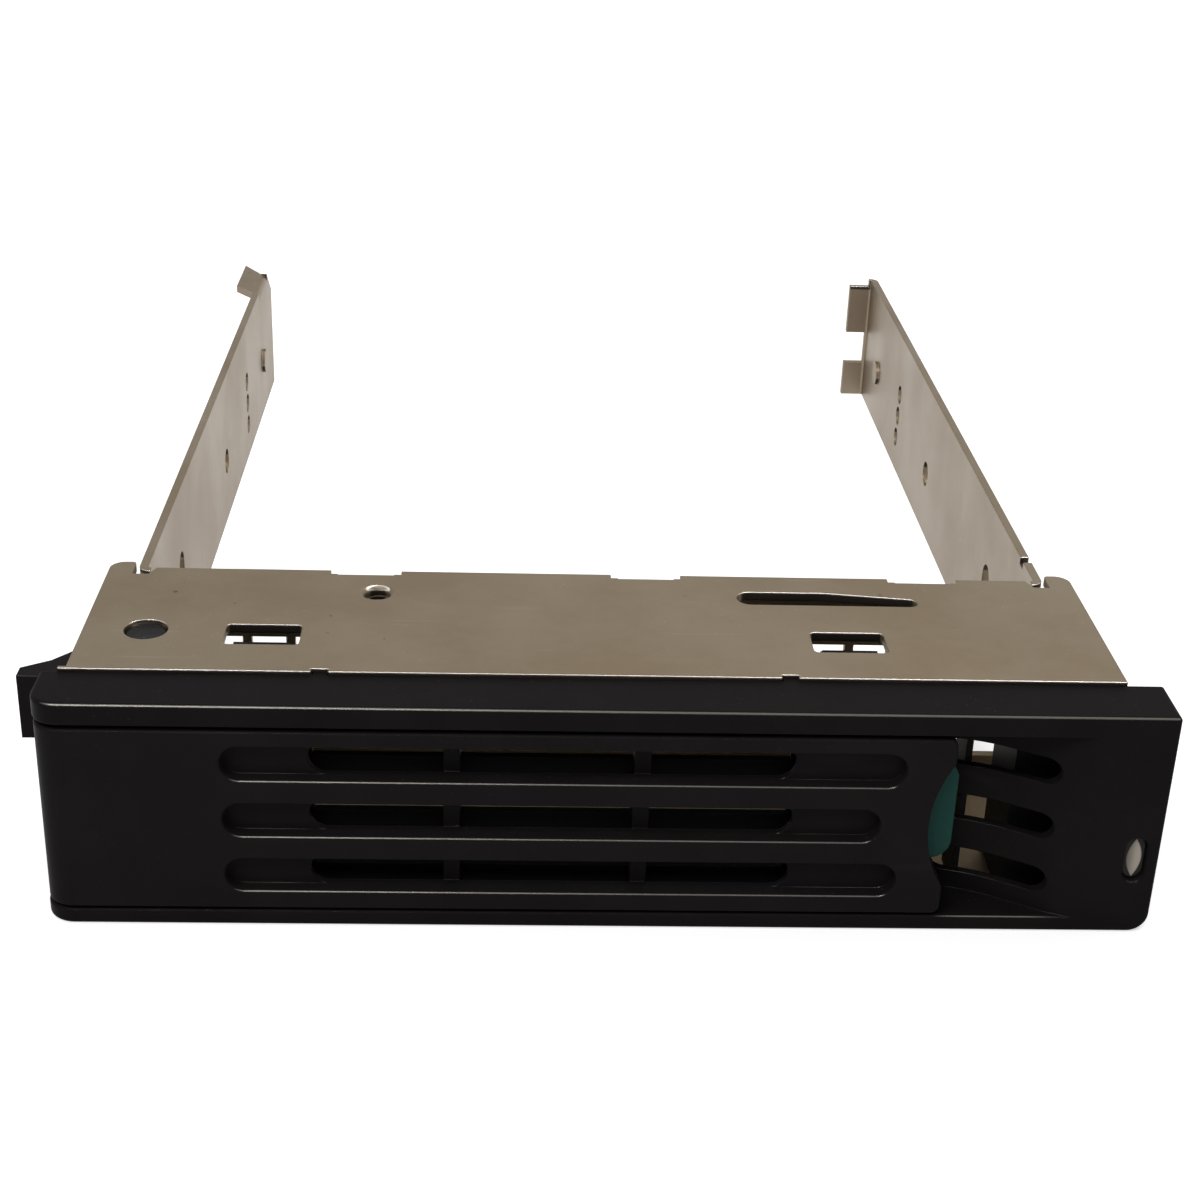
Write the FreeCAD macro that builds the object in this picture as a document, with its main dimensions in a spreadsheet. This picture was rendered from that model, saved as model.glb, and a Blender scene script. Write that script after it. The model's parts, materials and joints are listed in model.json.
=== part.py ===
# Hot swap drive caddy for a 3.5 inch drive.
#
# A folded steel carrier holds the drive between two side rails. A moulded
# bezel snaps on to its front, and an ejector lever with three air slots
# swings out of the bezel on a pin. A sliding latch in the lever's free end
# catches behind the bezel's grille wall.
#
# Axes: X to the right, Y from the bezel to the back of the rails, Z up.
# Everything is drawn with y = 0 at the seam between bezel and steel, and each
# piece is then placed so that the origin is the middle of the base plate.

import FreeCAD, Part
import math
import os
import re
import Sketcher

SIZES = [
    # folded steel carrier
    ("sheet", 1.0, "thickness of the folded steel"),
    ("bendRadius", 1.4, "outside radius of every fold"),
    ("caddyHeight", 26.6, "base plate's underside to top plate's face"),
    ("plateWidth", 110.6, "width of the top and base plates"),
    ("plateDepth", 25.0, "seam to the back of the rear wall"),
    ("earReach", 1.5, "how far the top plate's ears pass the rear wall"),
    ("railSpan", 104.0, "outside width over the two rails"),
    ("railDrop", 20.4, "height of a rail"),
    ("railEnd", 147.0, "seam to the rails' far ends"),
    ("notchOuter", 0.5, "relief outside each rail in the plates"),
    ("notchInner", 1.0, "reach of the slanted relief inside each rail"),
    ("notchLean", 0.3, "gap from a rail's inner face to that relief's front end"),
    ("notchDepth", 1.7, "depth of that relief"),
    ("earRound", 0.5, "rounding of the ears' inner corners"),
    ("cornerRound", 1.7, "rounding of the plates' rear corners"),
    ("wallGap", 0.4, "gap between rear wall and top plate off the tabs"),
    ("tabWidth", 6.4, "width of a bend tab"),
    ("tabPitch", 32.0, "spacing of the bend tabs"),
    ("tabMiddle", 5.8, "x of the middle bend tab"),
    ("tabCount", 3, "number of bend tabs"),
    ("tabRelief", 0.8, "width of the relief slit beside a bend tab"),
    ("tabSlit", 0.9, "depth of that slit"),
    ("holeWide", 3.95, "width of a vent hole in the rear wall"),
    ("holeTall", 4.2, "height of a vent hole"),
    ("holePitchX", 5.0, "vent hole pitch across"),
    ("holePitchZ", 5.2, "vent hole pitch up"),
    ("holeColumns", 20, "columns of vent holes"),
    ("holeRows", 3, "rows of vent holes"),
    ("holeLow", 6.0, "centre height of the lowest vent row"),
    ("windowWide", 8.1, "width of a snap window"),
    ("windowDeep", 4.7, "depth of a snap window"),
    ("windowY", 8.4, "y of the snap windows' centres"),
    ("windowLeftX", -36.1, "x of the left snap window"),
    ("windowRightX", 27.0, "x of the right snap window"),
    ("windowRound", 0.6, "corner rounding of a snap window"),
    ("slotLeftX", 17.4, "centre of the taper slot's wide end, x"),
    ("slotKinkX", 25.7, "x where the taper slot starts to narrow"),
    ("slotRightX", 35.3, "centre of the taper slot's narrow end, x"),
    ("slotFrontY", 17.6, "y of the taper slot's straight front edge"),
    ("slotWide", 3.2, "taper slot's width at its wide end"),
    ("slotNarrow", 1.9, "taper slot's width at its narrow end"),
    ("tapX", -24.6, "x of the flanged tapped hole"),
    ("tapY", 19.35, "y of the flanged tapped hole"),
    ("tapRadius", 1.43, "minor radius of the tapped hole"),
    ("collarRadius", 2.2, "outside radius of its drawn collar"),
    ("collarDrop", 1.3, "depth of the collar below the plate"),
    ("tapEntry", 0.65, "rounding at the tapped hole's mouth"),
    ("spurReach", 0.8, "shear spur at the top plate's front left corner"),
    ("spurDeep", 0.5, "depth of that spur"),
    ("overshoot", 1.0, "how far a cut runs past the piece it cuts"),
    # holes along the rails
    ("nearHoleY", 46.7, "y of the first drive screw slot"),
    ("farHoleY", 88.3, "y of the second drive screw hole"),
    ("screwZ", 14.5, "height of the drive screw line"),
    ("screwRadius", 1.8, "radius of a drive screw hole"),
    ("nearHoleRise", 2.4, "how much higher the first slot reaches"),
    ("clusterY", 112.7, "y of the three stacked holes"),
    ("clusterPitch", 3.5, "pitch of the stacked holes"),
    ("clusterRadius", 1.45, "radius of a stacked hole"),
    ("dimpleY", 133.2, "y of the guide dimple"),
    ("dimpleRadius", 1.5, "radius of the guide dimple"),
    ("dimpleDeep", 0.5, "depth of the guide dimple"),
    ("dimpleWall", 0.4, "how much wider the dimple is on the inside"),
    ("nickY", 31.0, "y of the nick in the right rail's top edge"),
    ("nickWide", 1.5, "width of that nick"),
    ("nickDeep", 0.9, "depth of that nick"),
    ("lipReach", 4.6, "inward reach of the lip at the right rail's end"),
    ("lipNotchLow", 12.0, "bottom of the notch in the lip"),
    ("lipNotchTall", 5.4, "height of that notch"),
    ("lipDrop", 1.1, "how far the lip's top sits below the rail's"),
    ("wingReach", 3.0, "outward reach of the wing on the left rail"),
    ("wingStart", 131.0, "y where that wing starts"),
    ("wingEnd", 142.0, "y where its fold ends"),
    ("wingSlope", 3.7, "how far back its slanted front edge runs"),
    ("wingSweep", 4.6, "how far back its slanted rear edge runs"),
    ("endSlope", 4.0, "drop of the left rail's top edge behind the wing"),
    # moulded bezel
    ("bezelLeft", 58.0, "bezel's reach to the left of the middle"),
    ("bezelRight", 59.3, "bezel's reach to the right of the middle"),
    ("bezelDeep", 7.0, "depth of the bezel"),
    ("bezelStep", 0.4, "how far the bezel's top sits below the top plate's face"),
    ("topBand", 2.5, "height of the bezel's top band"),
    ("lowBand", 1.8, "height of the bezel's bottom band"),
    ("endRound", 3.0, "plan rounding of the bezel's left end"),
    ("lowRightRound", 2.2, "rounding under the right end"),
    ("bezelEdge", 0.45, "rounding of the bezel's outer front edges"),
    ("bandEdge", 0.3, "rounding of its bands' inner front edges"),
    ("grilleThick", 1.0, "thickness of the grille wall behind the lever"),
    ("grilleLeft", -41.6, "left end of the grille wall"),
    ("grilleExtra", 0.3, "how much taller the wall's openings are than the lever's"),
    ("scoopSlotShift", -0.55, "how far the middle scoop slot sits above the lever's middle"),
    ("scoopSlotPitch", 6.65, "pitch of the scoop slots"),
    ("scoopSlotTall", 3.1, "height of a scoop slot"),
    ("scoopStart", 37.2, "x where the finger scoop leaves the grille wall"),
    ("scoopMidX", 43.4, "x where the scoop's hollow turns straight"),
    ("scoopMidY", -3.3, "y of that point"),
    ("scoopCrestX", 47.8, "x where the scoop's crest starts"),
    ("scoopCrestY", -5.8, "y of that point"),
    ("scoopEnd", 52.3, "x where the crest meets the front face"),
    ("hollowRadius", 20.0, "radius of the scoop's hollow"),
    ("crestRadius", 9.0, "radius of the scoop's crest"),
    ("moulding", 1.3, "wall of the bezel's right end"),
    ("scoopSlotStart", 36.4, "left end of a scoop slot"),
    ("scoopSlotEnd", 48.0, "right end of a scoop slot"),
    ("scoopRibX", 39.3, "x of the upright rib behind the scoop"),
    ("scoopRibDeep", 4.2, "reach of that rib behind the seam"),
    ("ribThin", 0.7, "thickness of that rib"),
    ("endBlockStart", 44.2, "left face of the block behind the scoop's crest"),
    ("endBlockDeep", 8.0, "reach of that block behind the seam"),
    ("strikeRight", 36.0, "right edge of the latch window in the grille wall"),
    ("strikeWide", 6.2, "width of that window"),
    ("strikeSlack", 0.8, "gap above and below the latch's stem in that window"),
    ("snapWide", 6.0, "width of a snap arm"),
    ("snapThick", 1.7, "thickness of a snap arm"),
    ("snapLength", 8.7, "length of a snap arm behind the seam"),
    ("snapBite", 0.65, "rise of a snap's tooth above its arm"),
    ("snapSlack", 0.2, "gap between snap arm and plate"),
    ("snapHold", 0.12, "gap between a snap's tooth and its window"),
    ("toothLength", 1.5, "length of a snap's tooth"),
    ("nibWide", 1.5, "width of a locating nib on the top band"),
    ("nibDeep", 0.5, "reach of a locating nib behind the seam"),
    ("nibLeftX", -29.3, "x of the left locating nib"),
    ("nibRightX", 19.7, "x of the right locating nib"),
    ("nibSlack", 0.15, "gap around a locating nib"),
    # light pipe
    ("pipeX", 56.8, "x of the light pipe"),
    ("pipeZ", 9.0, "height of the light pipe's centre"),
    ("pipeRadius", 1.1, "end radius of the oval light pipe"),
    ("pipeTall", 5.0, "height of the oval"),
    ("pipeRecess", 0.7, "how far the lens sits behind the front face"),
    ("pipeTail", 3.2, "length of the pipe behind the seam"),
    ("pipeFlange", 0.7, "flange width around the pipe"),
    ("pipeFlangeThick", 1.1, "flange thickness"),
    ("pipeSlack", 0.08, "gap around the light pipe"),
    # ejector lever
    ("leverLeft", 57.9, "lever's reach to the left of the middle"),
    ("leverRight", 36.5, "lever's free end"),
    ("leverGapTop", 0.45, "gap above the lever"),
    ("leverGapLow", 0.3, "gap below the lever"),
    ("leverGapBack", 0.4, "gap between lever and grille wall"),
    ("leverFace", 2.4, "thickness of the lever's face"),
    ("leverRound", 2.9, "plan rounding of the lever's left edge"),
    ("leverWall", 1.3, "wall around the lever's back pockets"),
    ("leverCorner", 0.9, "rounding of the free end's corners"),
    ("leverEdge", 0.3, "rounding of the lever's front edges"),
    ("biteTall", 15.2, "height of the finger bite"),
    ("biteShift", 0.3, "how far the bite sits above the lever's middle"),
    ("biteRadius", 14.2, "radius of the finger bite"),
    ("ventShift", 0.2, "how far the middle slot sits above the lever's middle"),
    ("ventPitch", 6.65, "pitch of the lever slots"),
    ("ventTall", 3.9, "height of a lever slot"),
    ("ventSink", 1.6, "depth of a lever slot's floor"),
    ("ventLeft", -39.0, "left end of the lever slots"),
    ("ventRight", 31.5, "right end of the upper and lower slots"),
    ("ventRightMid", 29.3, "right end of the middle slot"),
    ("openLeft", -30.2, "left end of the slots' open stretch"),
    ("openRight", 20.2, "right end of the slots' open stretch"),
    ("ribLeftX", -15.5, "x of the lever's left rib"),
    ("ribRightX", 4.3, "x of the lever's right rib"),
    ("ribWide", 1.7, "thickness of a lever rib"),
    ("pivotX", -48.6, "x of the lever's pin"),
    ("pivotY", 9.2, "y of the lever's pin"),
    ("hubRadius", 4.2, "radius of the lever's hub"),
    ("hubGapTop", 0.5, "gap between hub and top plate"),
    ("hubGapLow", 1.1, "gap between hub and base plate, which holds the clip"),
    ("armRootX", -51.0, "x where the arm leaves the lever's back"),
    ("armLean", 36.87, "angle at which the arm's edges meet the hub"),
    ("armShoulderY", 3.6, "y of the arm's outer shoulder"),
    ("hookReach", 2.75, "hook's reach beyond the lever's left edge"),
    ("hookFrontY", 1.0, "y of the hook's front face"),
    ("hookTipY", 2.9, "y of the hook tip's back corner"),
    ("hookNeckX", -57.75, "x of the hook's neck"),
    ("hookNeckY", 4.7, "y of the hook's neck"),
    ("hookTall", 7.3, "height of the hook"),
    # pin and clip
    ("pinRadius", 2.3, "radius of the lever's pin"),
    ("pinSeatSlack", 0.06, "radial gap of the pin in the plates"),
    ("pinRunSlack", 0.06, "radial gap of the pin in the hub"),
    ("pinSink", 0.4, "how far the pin's ends sit inside the plates"),
    ("pinChamfer", 0.3, "chamfer on the pin's ends"),
    ("grooveDeep", 0.5, "depth of the clip groove"),
    ("clipThick", 0.6, "thickness of the retaining clip"),
    ("clipSlack", 0.05, "gap of the clip in its groove"),
    ("clipLift", 0.2, "gap under the clip"),
    ("clipRadius", 3.7, "outside radius of the clip"),
    ("clipMouth", 2.9, "width of the clip's mouth"),
    ("clipLobe", 1.0, "depth of the hollows between the clip's lobes"),
    ("clipTooth", 1.5, "length of a tooth that grips the groove"),
    ("mouthStart", 1.05, "distance from the axis to the clip's mouth"),
    # latch and its spring
    ("latchLeft", 27.0, "x of the latch's spring end"),
    ("latchRight", 37.5, "x of the latch's finger pad"),
    ("latchTall", 12.6, "height of the latch"),
    ("latchShift", 1.2, "how far the latch sits above the lever's middle"),
    ("latchThick", 1.95, "thickness of the latch"),
    ("latchRound", 2.2, "rounding under the finger pad"),
    ("latchPlay", 0.15, "gap between latch and lever face"),
    ("latchSide", 0.25, "gap above and below the latch"),
    ("latchPocketLeft", 22.3, "x of the latch pocket's spring wall"),
    ("lipCover", 1.0, "reach of the lips that keep the latch in"),
    ("lipStart", 28.0, "left end of those lips"),
    ("lipEnd", 2.4, "gap from those lips to the lever's free end"),
    ("lipSlack", 0.15, "gap between latch and lips"),
    ("stemLeft", 32.4, "left face of the latch's stem"),
    ("stemRight", 35.5, "right face of the latch's stem"),
    ("stemTall", 2.2, "height of the stem"),
    ("stemShift", 2.1, "how far the stem sits above the lever's middle"),
    ("catchReach", 1.9, "reach of the catch beyond the stem"),
    ("catchSlack", 0.3, "gap between catch and grille wall"),
    ("catchThick", 1.4, "thickness of the catch"),
    ("catchRamp", 0.9, "ramp on the back of the catch"),
    ("latchTaper", 2.4, "height of the slanted corner above the finger pad"),
    ("latchTaperWide", 1.2, "width of that corner"),
    ("springRadius", 1.25, "mean radius of the latch spring"),
    ("springWire", 0.35, "wire thickness of the latch spring"),
    ("springTurns", 5, "turns of the latch spring"),
    ("springSeat", 0.05, "gap at each end of the latch spring"),
    ("springClear", 0.1, "gap between the coil and the lever's face"),
    ("pegRadius", 0.9, "radius of the peg inside the latch spring"),
    ("pegLength", 1.5, "length of that peg"),
]

os.makedirs("parts", exist_ok=True)
doc = FreeCAD.newDocument("HotSwapDriveCaddy")
sheet = doc.addObject("Spreadsheet::Sheet", "Sizes")
for row, (alias, number, note) in enumerate(SIZES, 1):
    sheet.set("A%d" % row, note)
    sheet.set("B%d" % row, str(number))
    sheet.setAlias("B%d" % row, alias)
doc.recompute()
NAMES = {alias for alias, number, note in SIZES}


# ---------------------------------------------------------------- helpers

def cells(text):
    """Turn 'sheet + 2 * railSpan' into an expression on the spreadsheet."""
    return re.sub(r"[A-Za-z_]\w*", lambda m: "Sizes." + m[0] if m[0] in NAMES else m[0], str(text))


def size(text):
    """The number that an expression on the spreadsheet gives now."""
    return float(sheet.evalExpression(cells(text)))


def start_body(label):
    body = doc.addObject("PartDesign::Body", label)
    body.Label = label
    return body


def origin_part(body, role):
    return [part for part in body.Origin.OriginFeatures if part.Role == role][0]


def sketch(body, name, plane, level):
    """A sketch on 'XY' at z = level, 'XZ' at y = level or 'YZ' at x = level."""
    made = body.newObject("Sketcher::SketchObject", name)
    made.AttachmentSupport = [(origin_part(body, plane + "_Plane"), "")]
    made.MapMode = "FlatFace"
    toward = "-(%s)" if plane == "XZ" else "(%s)"
    made.setExpression("AttachmentOffset.Base.z", cells(toward % level))
    return made


def bind(made, kind, *place, to):
    index = made.addConstraint(Sketcher.Constraint(kind, *place, size(to)))
    made.setExpression("Constraints[%d]" % index, cells(to))


def pin_point(made, geometry, end, x, y):
    bind(made, "DistanceX", geometry, end, to=x)
    bind(made, "DistanceY", geometry, end, to=y)


def outline(made, corners):
    """A closed outline. A corner is (x, y), or (x, y, turn, radius) where the
    stretch to the next corner is an arc that turns 'left' or 'right'."""
    first = made.GeometryCount
    points = [FreeCAD.Vector(size(c[0]), size(c[1]), 0) for c in corners]
    ends = []
    for i, corner in enumerate(corners):
        a, b = points[i], points[(i + 1) % len(corners)]
        if len(corner) == 2:
            made.addGeometry(Part.LineSegment(a, b), False)
            ends.append((1, 2))
            continue
        radius = size(corner[3])
        half = (b - a) * 0.5
        rise = math.sqrt(max(radius ** 2 - half.Length ** 2, 0.0))
        side = FreeCAD.Vector(-half.y, half.x, 0).normalize()
        left = corner[2] == "left"
        middle = a + half + side * (rise if left else -rise)
        begin, finish = (a, b) if left else (b, a)
        angles = [math.atan2(p.y - middle.y, p.x - middle.x) for p in (begin, finish)]
        circle = Part.Circle(middle, FreeCAD.Vector(0, 0, 1), radius)
        made.addGeometry(Part.ArcOfCircle(circle, angles[0], angles[1]), False)
        ends.append((1, 2) if left else (2, 1))
    count = len(corners)
    for i in range(count):
        after = (i + 1) % count
        made.addConstraint(Sketcher.Constraint(
            "Coincident", first + i, ends[i][1], first + after, ends[after][0]))
        pin_point(made, first + i, ends[i][0], corners[i][0], corners[i][1])
        if len(corners[i]) > 2:
            bind(made, "Radius", first + i, to=corners[i][3])


def rectangle(made, x0, x1, y0, y1):
    outline(made, [(x0, y0), (x1, y0), (x1, y1), (x0, y1)])


def round_rectangle(made, x0, x1, y0, y1, radius):
    """A rectangle with four round corners."""
    x0in, x1in = "%s + %s" % (x0, radius), "%s - %s" % (x1, radius)
    y0in, y1in = "%s + %s" % (y0, radius), "%s - %s" % (y1, radius)
    outline(made, [
        (x0in, y0), (x1in, y0, "left", radius), (x1, y0in), (x1, y1in, "left", radius),
        (x1in, y1), (x0in, y1, "left", radius), (x0, y1in), (x0, y0in, "left", radius)])


def circle(made, x, y, radius):
    index = made.addGeometry(
        Part.Circle(FreeCAD.Vector(size(x), size(y), 0), FreeCAD.Vector(0, 0, 1), size(radius)), False)
    pin_point(made, index, 3, x, y)
    bind(made, "Radius", index, to=radius)


def obround(made, start, end, radius, end_radius=None):
    """A slot with round ends about the two points (x, y)."""
    end_radius = end_radius or radius
    a = FreeCAD.Vector(size(start[0]), size(start[1]), 0)
    b = FreeCAD.Vector(size(end[0]), size(end[1]), 0)
    along = (b - a).normalize()
    across = FreeCAD.Vector(-along.y, along.x, 0)
    ra, rb = size(radius), size(end_radius)
    heading = math.atan2(across.y, across.x)
    up = FreeCAD.Vector(0, 0, 1)
    first = made.addGeometry(
        Part.ArcOfCircle(Part.Circle(a, up, ra), heading, heading + math.pi), False)
    second = made.addGeometry(
        Part.ArcOfCircle(Part.Circle(b, up, rb), heading - math.pi, heading), False)
    low = made.addGeometry(Part.LineSegment(a - across * ra, b - across * rb), False)
    high = made.addGeometry(Part.LineSegment(b + across * rb, a + across * ra), False)
    for pair in ((first, 2, low, 1), (low, 2, second, 1), (second, 2, high, 1), (high, 2, first, 1)):
        made.addConstraint(Sketcher.Constraint("Tangent", *pair))
    pin_point(made, first, 3, *start)
    pin_point(made, second, 3, *end)
    bind(made, "Radius", first, to=radius)
    bind(made, "Radius", second, to=end_radius)


def pad(body, profile, length, back=False, middle=False):
    made = body.newObject("PartDesign::Pad", profile.Name + "Pad")
    made.Profile = profile
    made.setExpression("Length", cells(length))
    made.Reversed = back
    if middle:
        made.SideType = "Symmetric"
    doc.recompute()
    return made


def pocket(body, profile, length, back=False):
    """A cut, from an XY sketch down, from an XZ sketch towards +Y and from a
    YZ sketch towards -X, or the other way with back."""
    before = body.Tip.Shape.Volume
    made = body.newObject("PartDesign::Pocket", profile.Name + "Cut")
    made.Profile = profile
    made.setExpression("Length", cells(length))
    made.Reversed = back
    doc.recompute()
    if made.Shape.isNull() or made.Shape.Volume > before - 1e-6:
        raise RuntimeError("%s removes nothing" % profile.Name)
    return made


def block(body, name, x, y, z):
    """A padded box between the pairs x, y and z of expressions."""
    profile = sketch(body, name, "XY", z[0])
    rectangle(profile, x[0], x[1], y[0], y[1])
    return pad(body, profile, "(%s) - (%s)" % (z[1], z[0]))


def hollow(body, name, x, y, z):
    """A pocketed box between the pairs x, y and z of expressions."""
    profile = sketch(body, name, "XY", z[1])
    rectangle(profile, x[0], x[1], y[0], y[1])
    return pocket(body, profile, "(%s) - (%s)" % (z[1], z[0]))


def lies(edge, x=None, y=None, z=None, reach=0.02):
    """True where the whole edge keeps to the stated x, y or z, each a number
    or a (low, high) pair."""
    box = edge.BoundBox
    spans = ((x, box.XMin, box.XMax), (y, box.YMin, box.YMax), (z, box.ZMin, box.ZMax))
    for wanted, low, high in spans:
        if wanted is None:
            continue
        bottom, top = wanted if isinstance(wanted, tuple) else (wanted, wanted)
        if low < bottom - reach or high > top + reach:
            return False
    return True


def dress(body, kind, name, amount, test):
    """A Fillet or Chamfer on the edges of the body's tip that pass the test."""
    base = body.Tip
    found = ["Edge%d" % i for i, edge in enumerate(base.Shape.Edges, 1) if test(edge)]
    if not found:
        raise RuntimeError("%s finds no edge" % name)
    made = body.newObject("PartDesign::" + kind, name)
    made.Base = (base, found)
    made.setExpression("Radius" if kind == "Fillet" else "Size", cells(amount))
    doc.recompute()
    return made


def repeat(body, name, features, role, length, count):
    """A linear pattern of the features along one of the body's axes."""
    made = body.newObject("PartDesign::LinearPattern", name)
    made.Originals = features
    made.Direction = (origin_part(body, role), [""])
    made.setExpression("Length", cells(length))
    made.setExpression("Occurrences", cells(count))
    body.Tip = made
    doc.recompute()
    return made


# Levels that several pieces share.
PLATE_UNDER = "(caddyHeight - sheet)"
PLATE_HALF = "(plateWidth / 2)"
WALL_FRONT = "(plateDepth - sheet)"
RAIL_LOW = "(caddyHeight - railDrop)"
RAIL_OUT = "(railSpan / 2)"
RAIL_IN = "(railSpan / 2 - sheet)"
INNER_BEND = "(bendRadius - sheet)"
FRONT = "(-bezelDeep)"
BEZEL_TOP = "(caddyHeight - bezelStep)"
BAND_UNDER = "(caddyHeight - bezelStep - topBand)"
LEVER_LOW = "(lowBand + leverGapLow)"
LEVER_HIGH = "(caddyHeight - bezelStep - topBand - leverGapTop)"
LEVER_MIDDLE = "((lowBand + leverGapLow + caddyHeight - bezelStep - topBand - leverGapTop) / 2)"
LATCH_LOW = "(%s + latchShift - latchTall / 2)" % LEVER_MIDDLE
LATCH_HIGH = "(%s + latchShift + latchTall / 2)" % LEVER_MIDDLE
SPRING_Z = "(%s + latchShift)" % LEVER_MIDDLE
STEM_LOW = "(%s + stemShift - stemTall / 2)" % LEVER_MIDDLE
STEM_HIGH = "(%s + stemShift + stemTall / 2)" % LEVER_MIDDLE
LEVER_BACK = "(-grilleThick - leverGapBack)"
LEVER_FACE_BACK = "(leverFace - bezelDeep)"
LATCH_FRONT = "(leverFace - bezelDeep + latchPlay)"
LATCH_BACK = "(leverFace - bezelDeep + latchPlay + latchThick)"
SPRING_Y = "(leverFace - bezelDeep + springClear + springRadius + springWire / 2)"
STEM_BACK = "(catchSlack + catchThick)"


# ---------------------------------------------------------- folded carrier

def rear_wall(body):
    """Rear wall between the rail folds."""
    end = "(%s - bendRadius)" % RAIL_OUT
    profile = sketch(body, "RearWall", "XZ", "plateDepth")
    rectangle(profile, "-" + end, end, "bendRadius", "%s - wallGap" % PLATE_UNDER)
    pad(body, profile, "sheet")


def plate_back(inner, end, fold):
    """Rear outline of a plate: an ear on each side, the relief beside the
    rail as far in as x = inner, then the edge at y = fold from x = end."""
    ear_in = "(%s + notchOuter)" % RAIL_OUT
    ear_back = "(plateDepth + earReach)"
    notch = "(plateDepth - notchDepth)"
    right = [(PLATE_HALF, ear_back), (ear_in, ear_back), (ear_in, notch), (inner, notch), (end, fold)]
    return right + [("-" + x, y) for x, y in reversed(right)]


def base_plate(body):
    """Base plate and the full-width fold that carries it."""
    end = "(%s - bendRadius)" % RAIL_OUT
    fold = "(plateDepth - bendRadius)"
    profile = sketch(body, "BaseFold", "YZ", "-" + end)
    outline(profile, [
        (fold, "0", "left", "bendRadius"), ("plateDepth", "bendRadius"),
        (WALL_FRONT, "bendRadius", "right", INNER_BEND), (fold, "sheet")])
    pad(body, profile, "2 * " + end)
    plate = sketch(body, "BasePlate", "XY", "0")
    outline(plate, [("-" + PLATE_HALF, "0"), (PLATE_HALF, "0")] + plate_back(end, end, fold))
    pad(body, plate, "sheet")


def rail(body, side, name):
    """A side rail and the fold that joins it to the rear wall."""
    out = "%d * %s" % (side, RAIL_OUT)
    inner = "%d * %s" % (side, RAIL_IN)
    centre = "%d * (%s - bendRadius)" % (side, RAIL_OUT)
    front = "(%s + bendRadius)" % WALL_FRONT
    back = "(railEnd - bendRadius)" if side > 0 else "railEnd"
    turn, other = ("left", "right") if side > 0 else ("right", "left")
    profile = sketch(body, name, "XY", RAIL_LOW)
    outline(profile, [
        (centre, WALL_FRONT, turn, "bendRadius"), (out, front), (out, back), (inner, back),
        (inner, front, other, INNER_BEND), (centre, "plateDepth")])
    pad(body, profile, "railDrop")


def rail_lip(body):
    """Lip folded inward at the right rail's end, with a notch across it."""
    fold = "(%s - bendRadius)" % RAIL_OUT
    back = "(railEnd - bendRadius)"
    tip = "(%s - lipReach)" % RAIL_OUT
    profile = sketch(body, "Lip", "XY", RAIL_LOW)
    outline(profile, [
        (RAIL_OUT, back, "left", "bendRadius"), (fold, "railEnd"), (tip, "railEnd"),
        (tip, "railEnd - sheet"), (fold, "railEnd - sheet", "right", INNER_BEND), (RAIL_IN, back)])
    pad(body, profile, "railDrop")
    across = ("railEnd - sheet - overshoot", "railEnd + overshoot")
    hollow(body, "LipNotch", (tip, fold), across, ("lipNotchLow", "lipNotchLow + lipNotchTall"))
    hollow(body, "LipTop", (tip, fold), across, ("caddyHeight - lipDrop", "caddyHeight"))


def top_plate(body):
    """Top plate with its ears, its relief beside the rails and its spur."""
    spur = "-%s - spurReach" % PLATE_HALF
    profile = sketch(body, "TopPlate", "XY", PLATE_UNDER)
    outline(profile, [(spur, "0"), (PLATE_HALF, "0")]
            + plate_back("(%s - notchLean)" % RAIL_IN, "(%s - notchInner)" % RAIL_IN, "plateDepth")
            + [("-" + PLATE_HALF, "spurDeep"), (spur, "spurDeep")])
    pad(body, profile, "sheet")


def bend_tabs(body):
    """Tabs that fold the top plate down into the rear wall, with their slits."""
    fold = "(plateDepth - bendRadius)"
    start = "(tabMiddle - tabPitch)"
    left = "(%s - tabWidth / 2)" % start
    right = "(%s + tabWidth / 2)" % start
    high = "(caddyHeight - bendRadius)"
    profile = sketch(body, "Tab", "YZ", left)
    outline(profile, [
        (WALL_FRONT, high + " - tabRelief"), ("plateDepth", high + " - tabRelief"),
        ("plateDepth", high, "left", "bendRadius"), (fold, "caddyHeight"),
        (fold, PLATE_UNDER, "right", INNER_BEND), (WALL_FRONT, high)])
    relief = sketch(body, "TabRelief", "XY", "caddyHeight")
    slit = "(plateDepth - tabSlit)"
    outline(relief, [
        (left + " - tabRelief", slit), (left, slit), (left, fold),
        (right, fold), (right, slit), (right + " + tabRelief", slit),
        (right + " + tabRelief", "plateDepth + overshoot"),
        (left + " - tabRelief", "plateDepth + overshoot")])
    cut = pocket(body, relief, "sheet")
    tab = pad(body, profile, "tabWidth")
    repeat(body, "Tabs", [cut, tab], "X_Axis", "(tabCount - 1) * tabPitch", "tabCount")


def vent_holes(body):
    """Rows of vent holes across the rear wall."""
    column = sketch(body, "VentColumn", "XZ", WALL_FRONT)
    left = "(-(holeColumns - 1) * holePitchX / 2 - holeWide / 2)"
    for row in range(int(size("holeRows"))):
        middle = "(holeLow + %d * holePitchZ)" % row
        rectangle(column, left, left + " + holeWide", middle + " - holeTall / 2", middle + " + holeTall / 2")
    cut = pocket(body, column, "sheet")
    repeat(body, "VentHoles", [cut], "X_Axis", "(holeColumns - 1) * holePitchX", "holeColumns")


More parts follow.
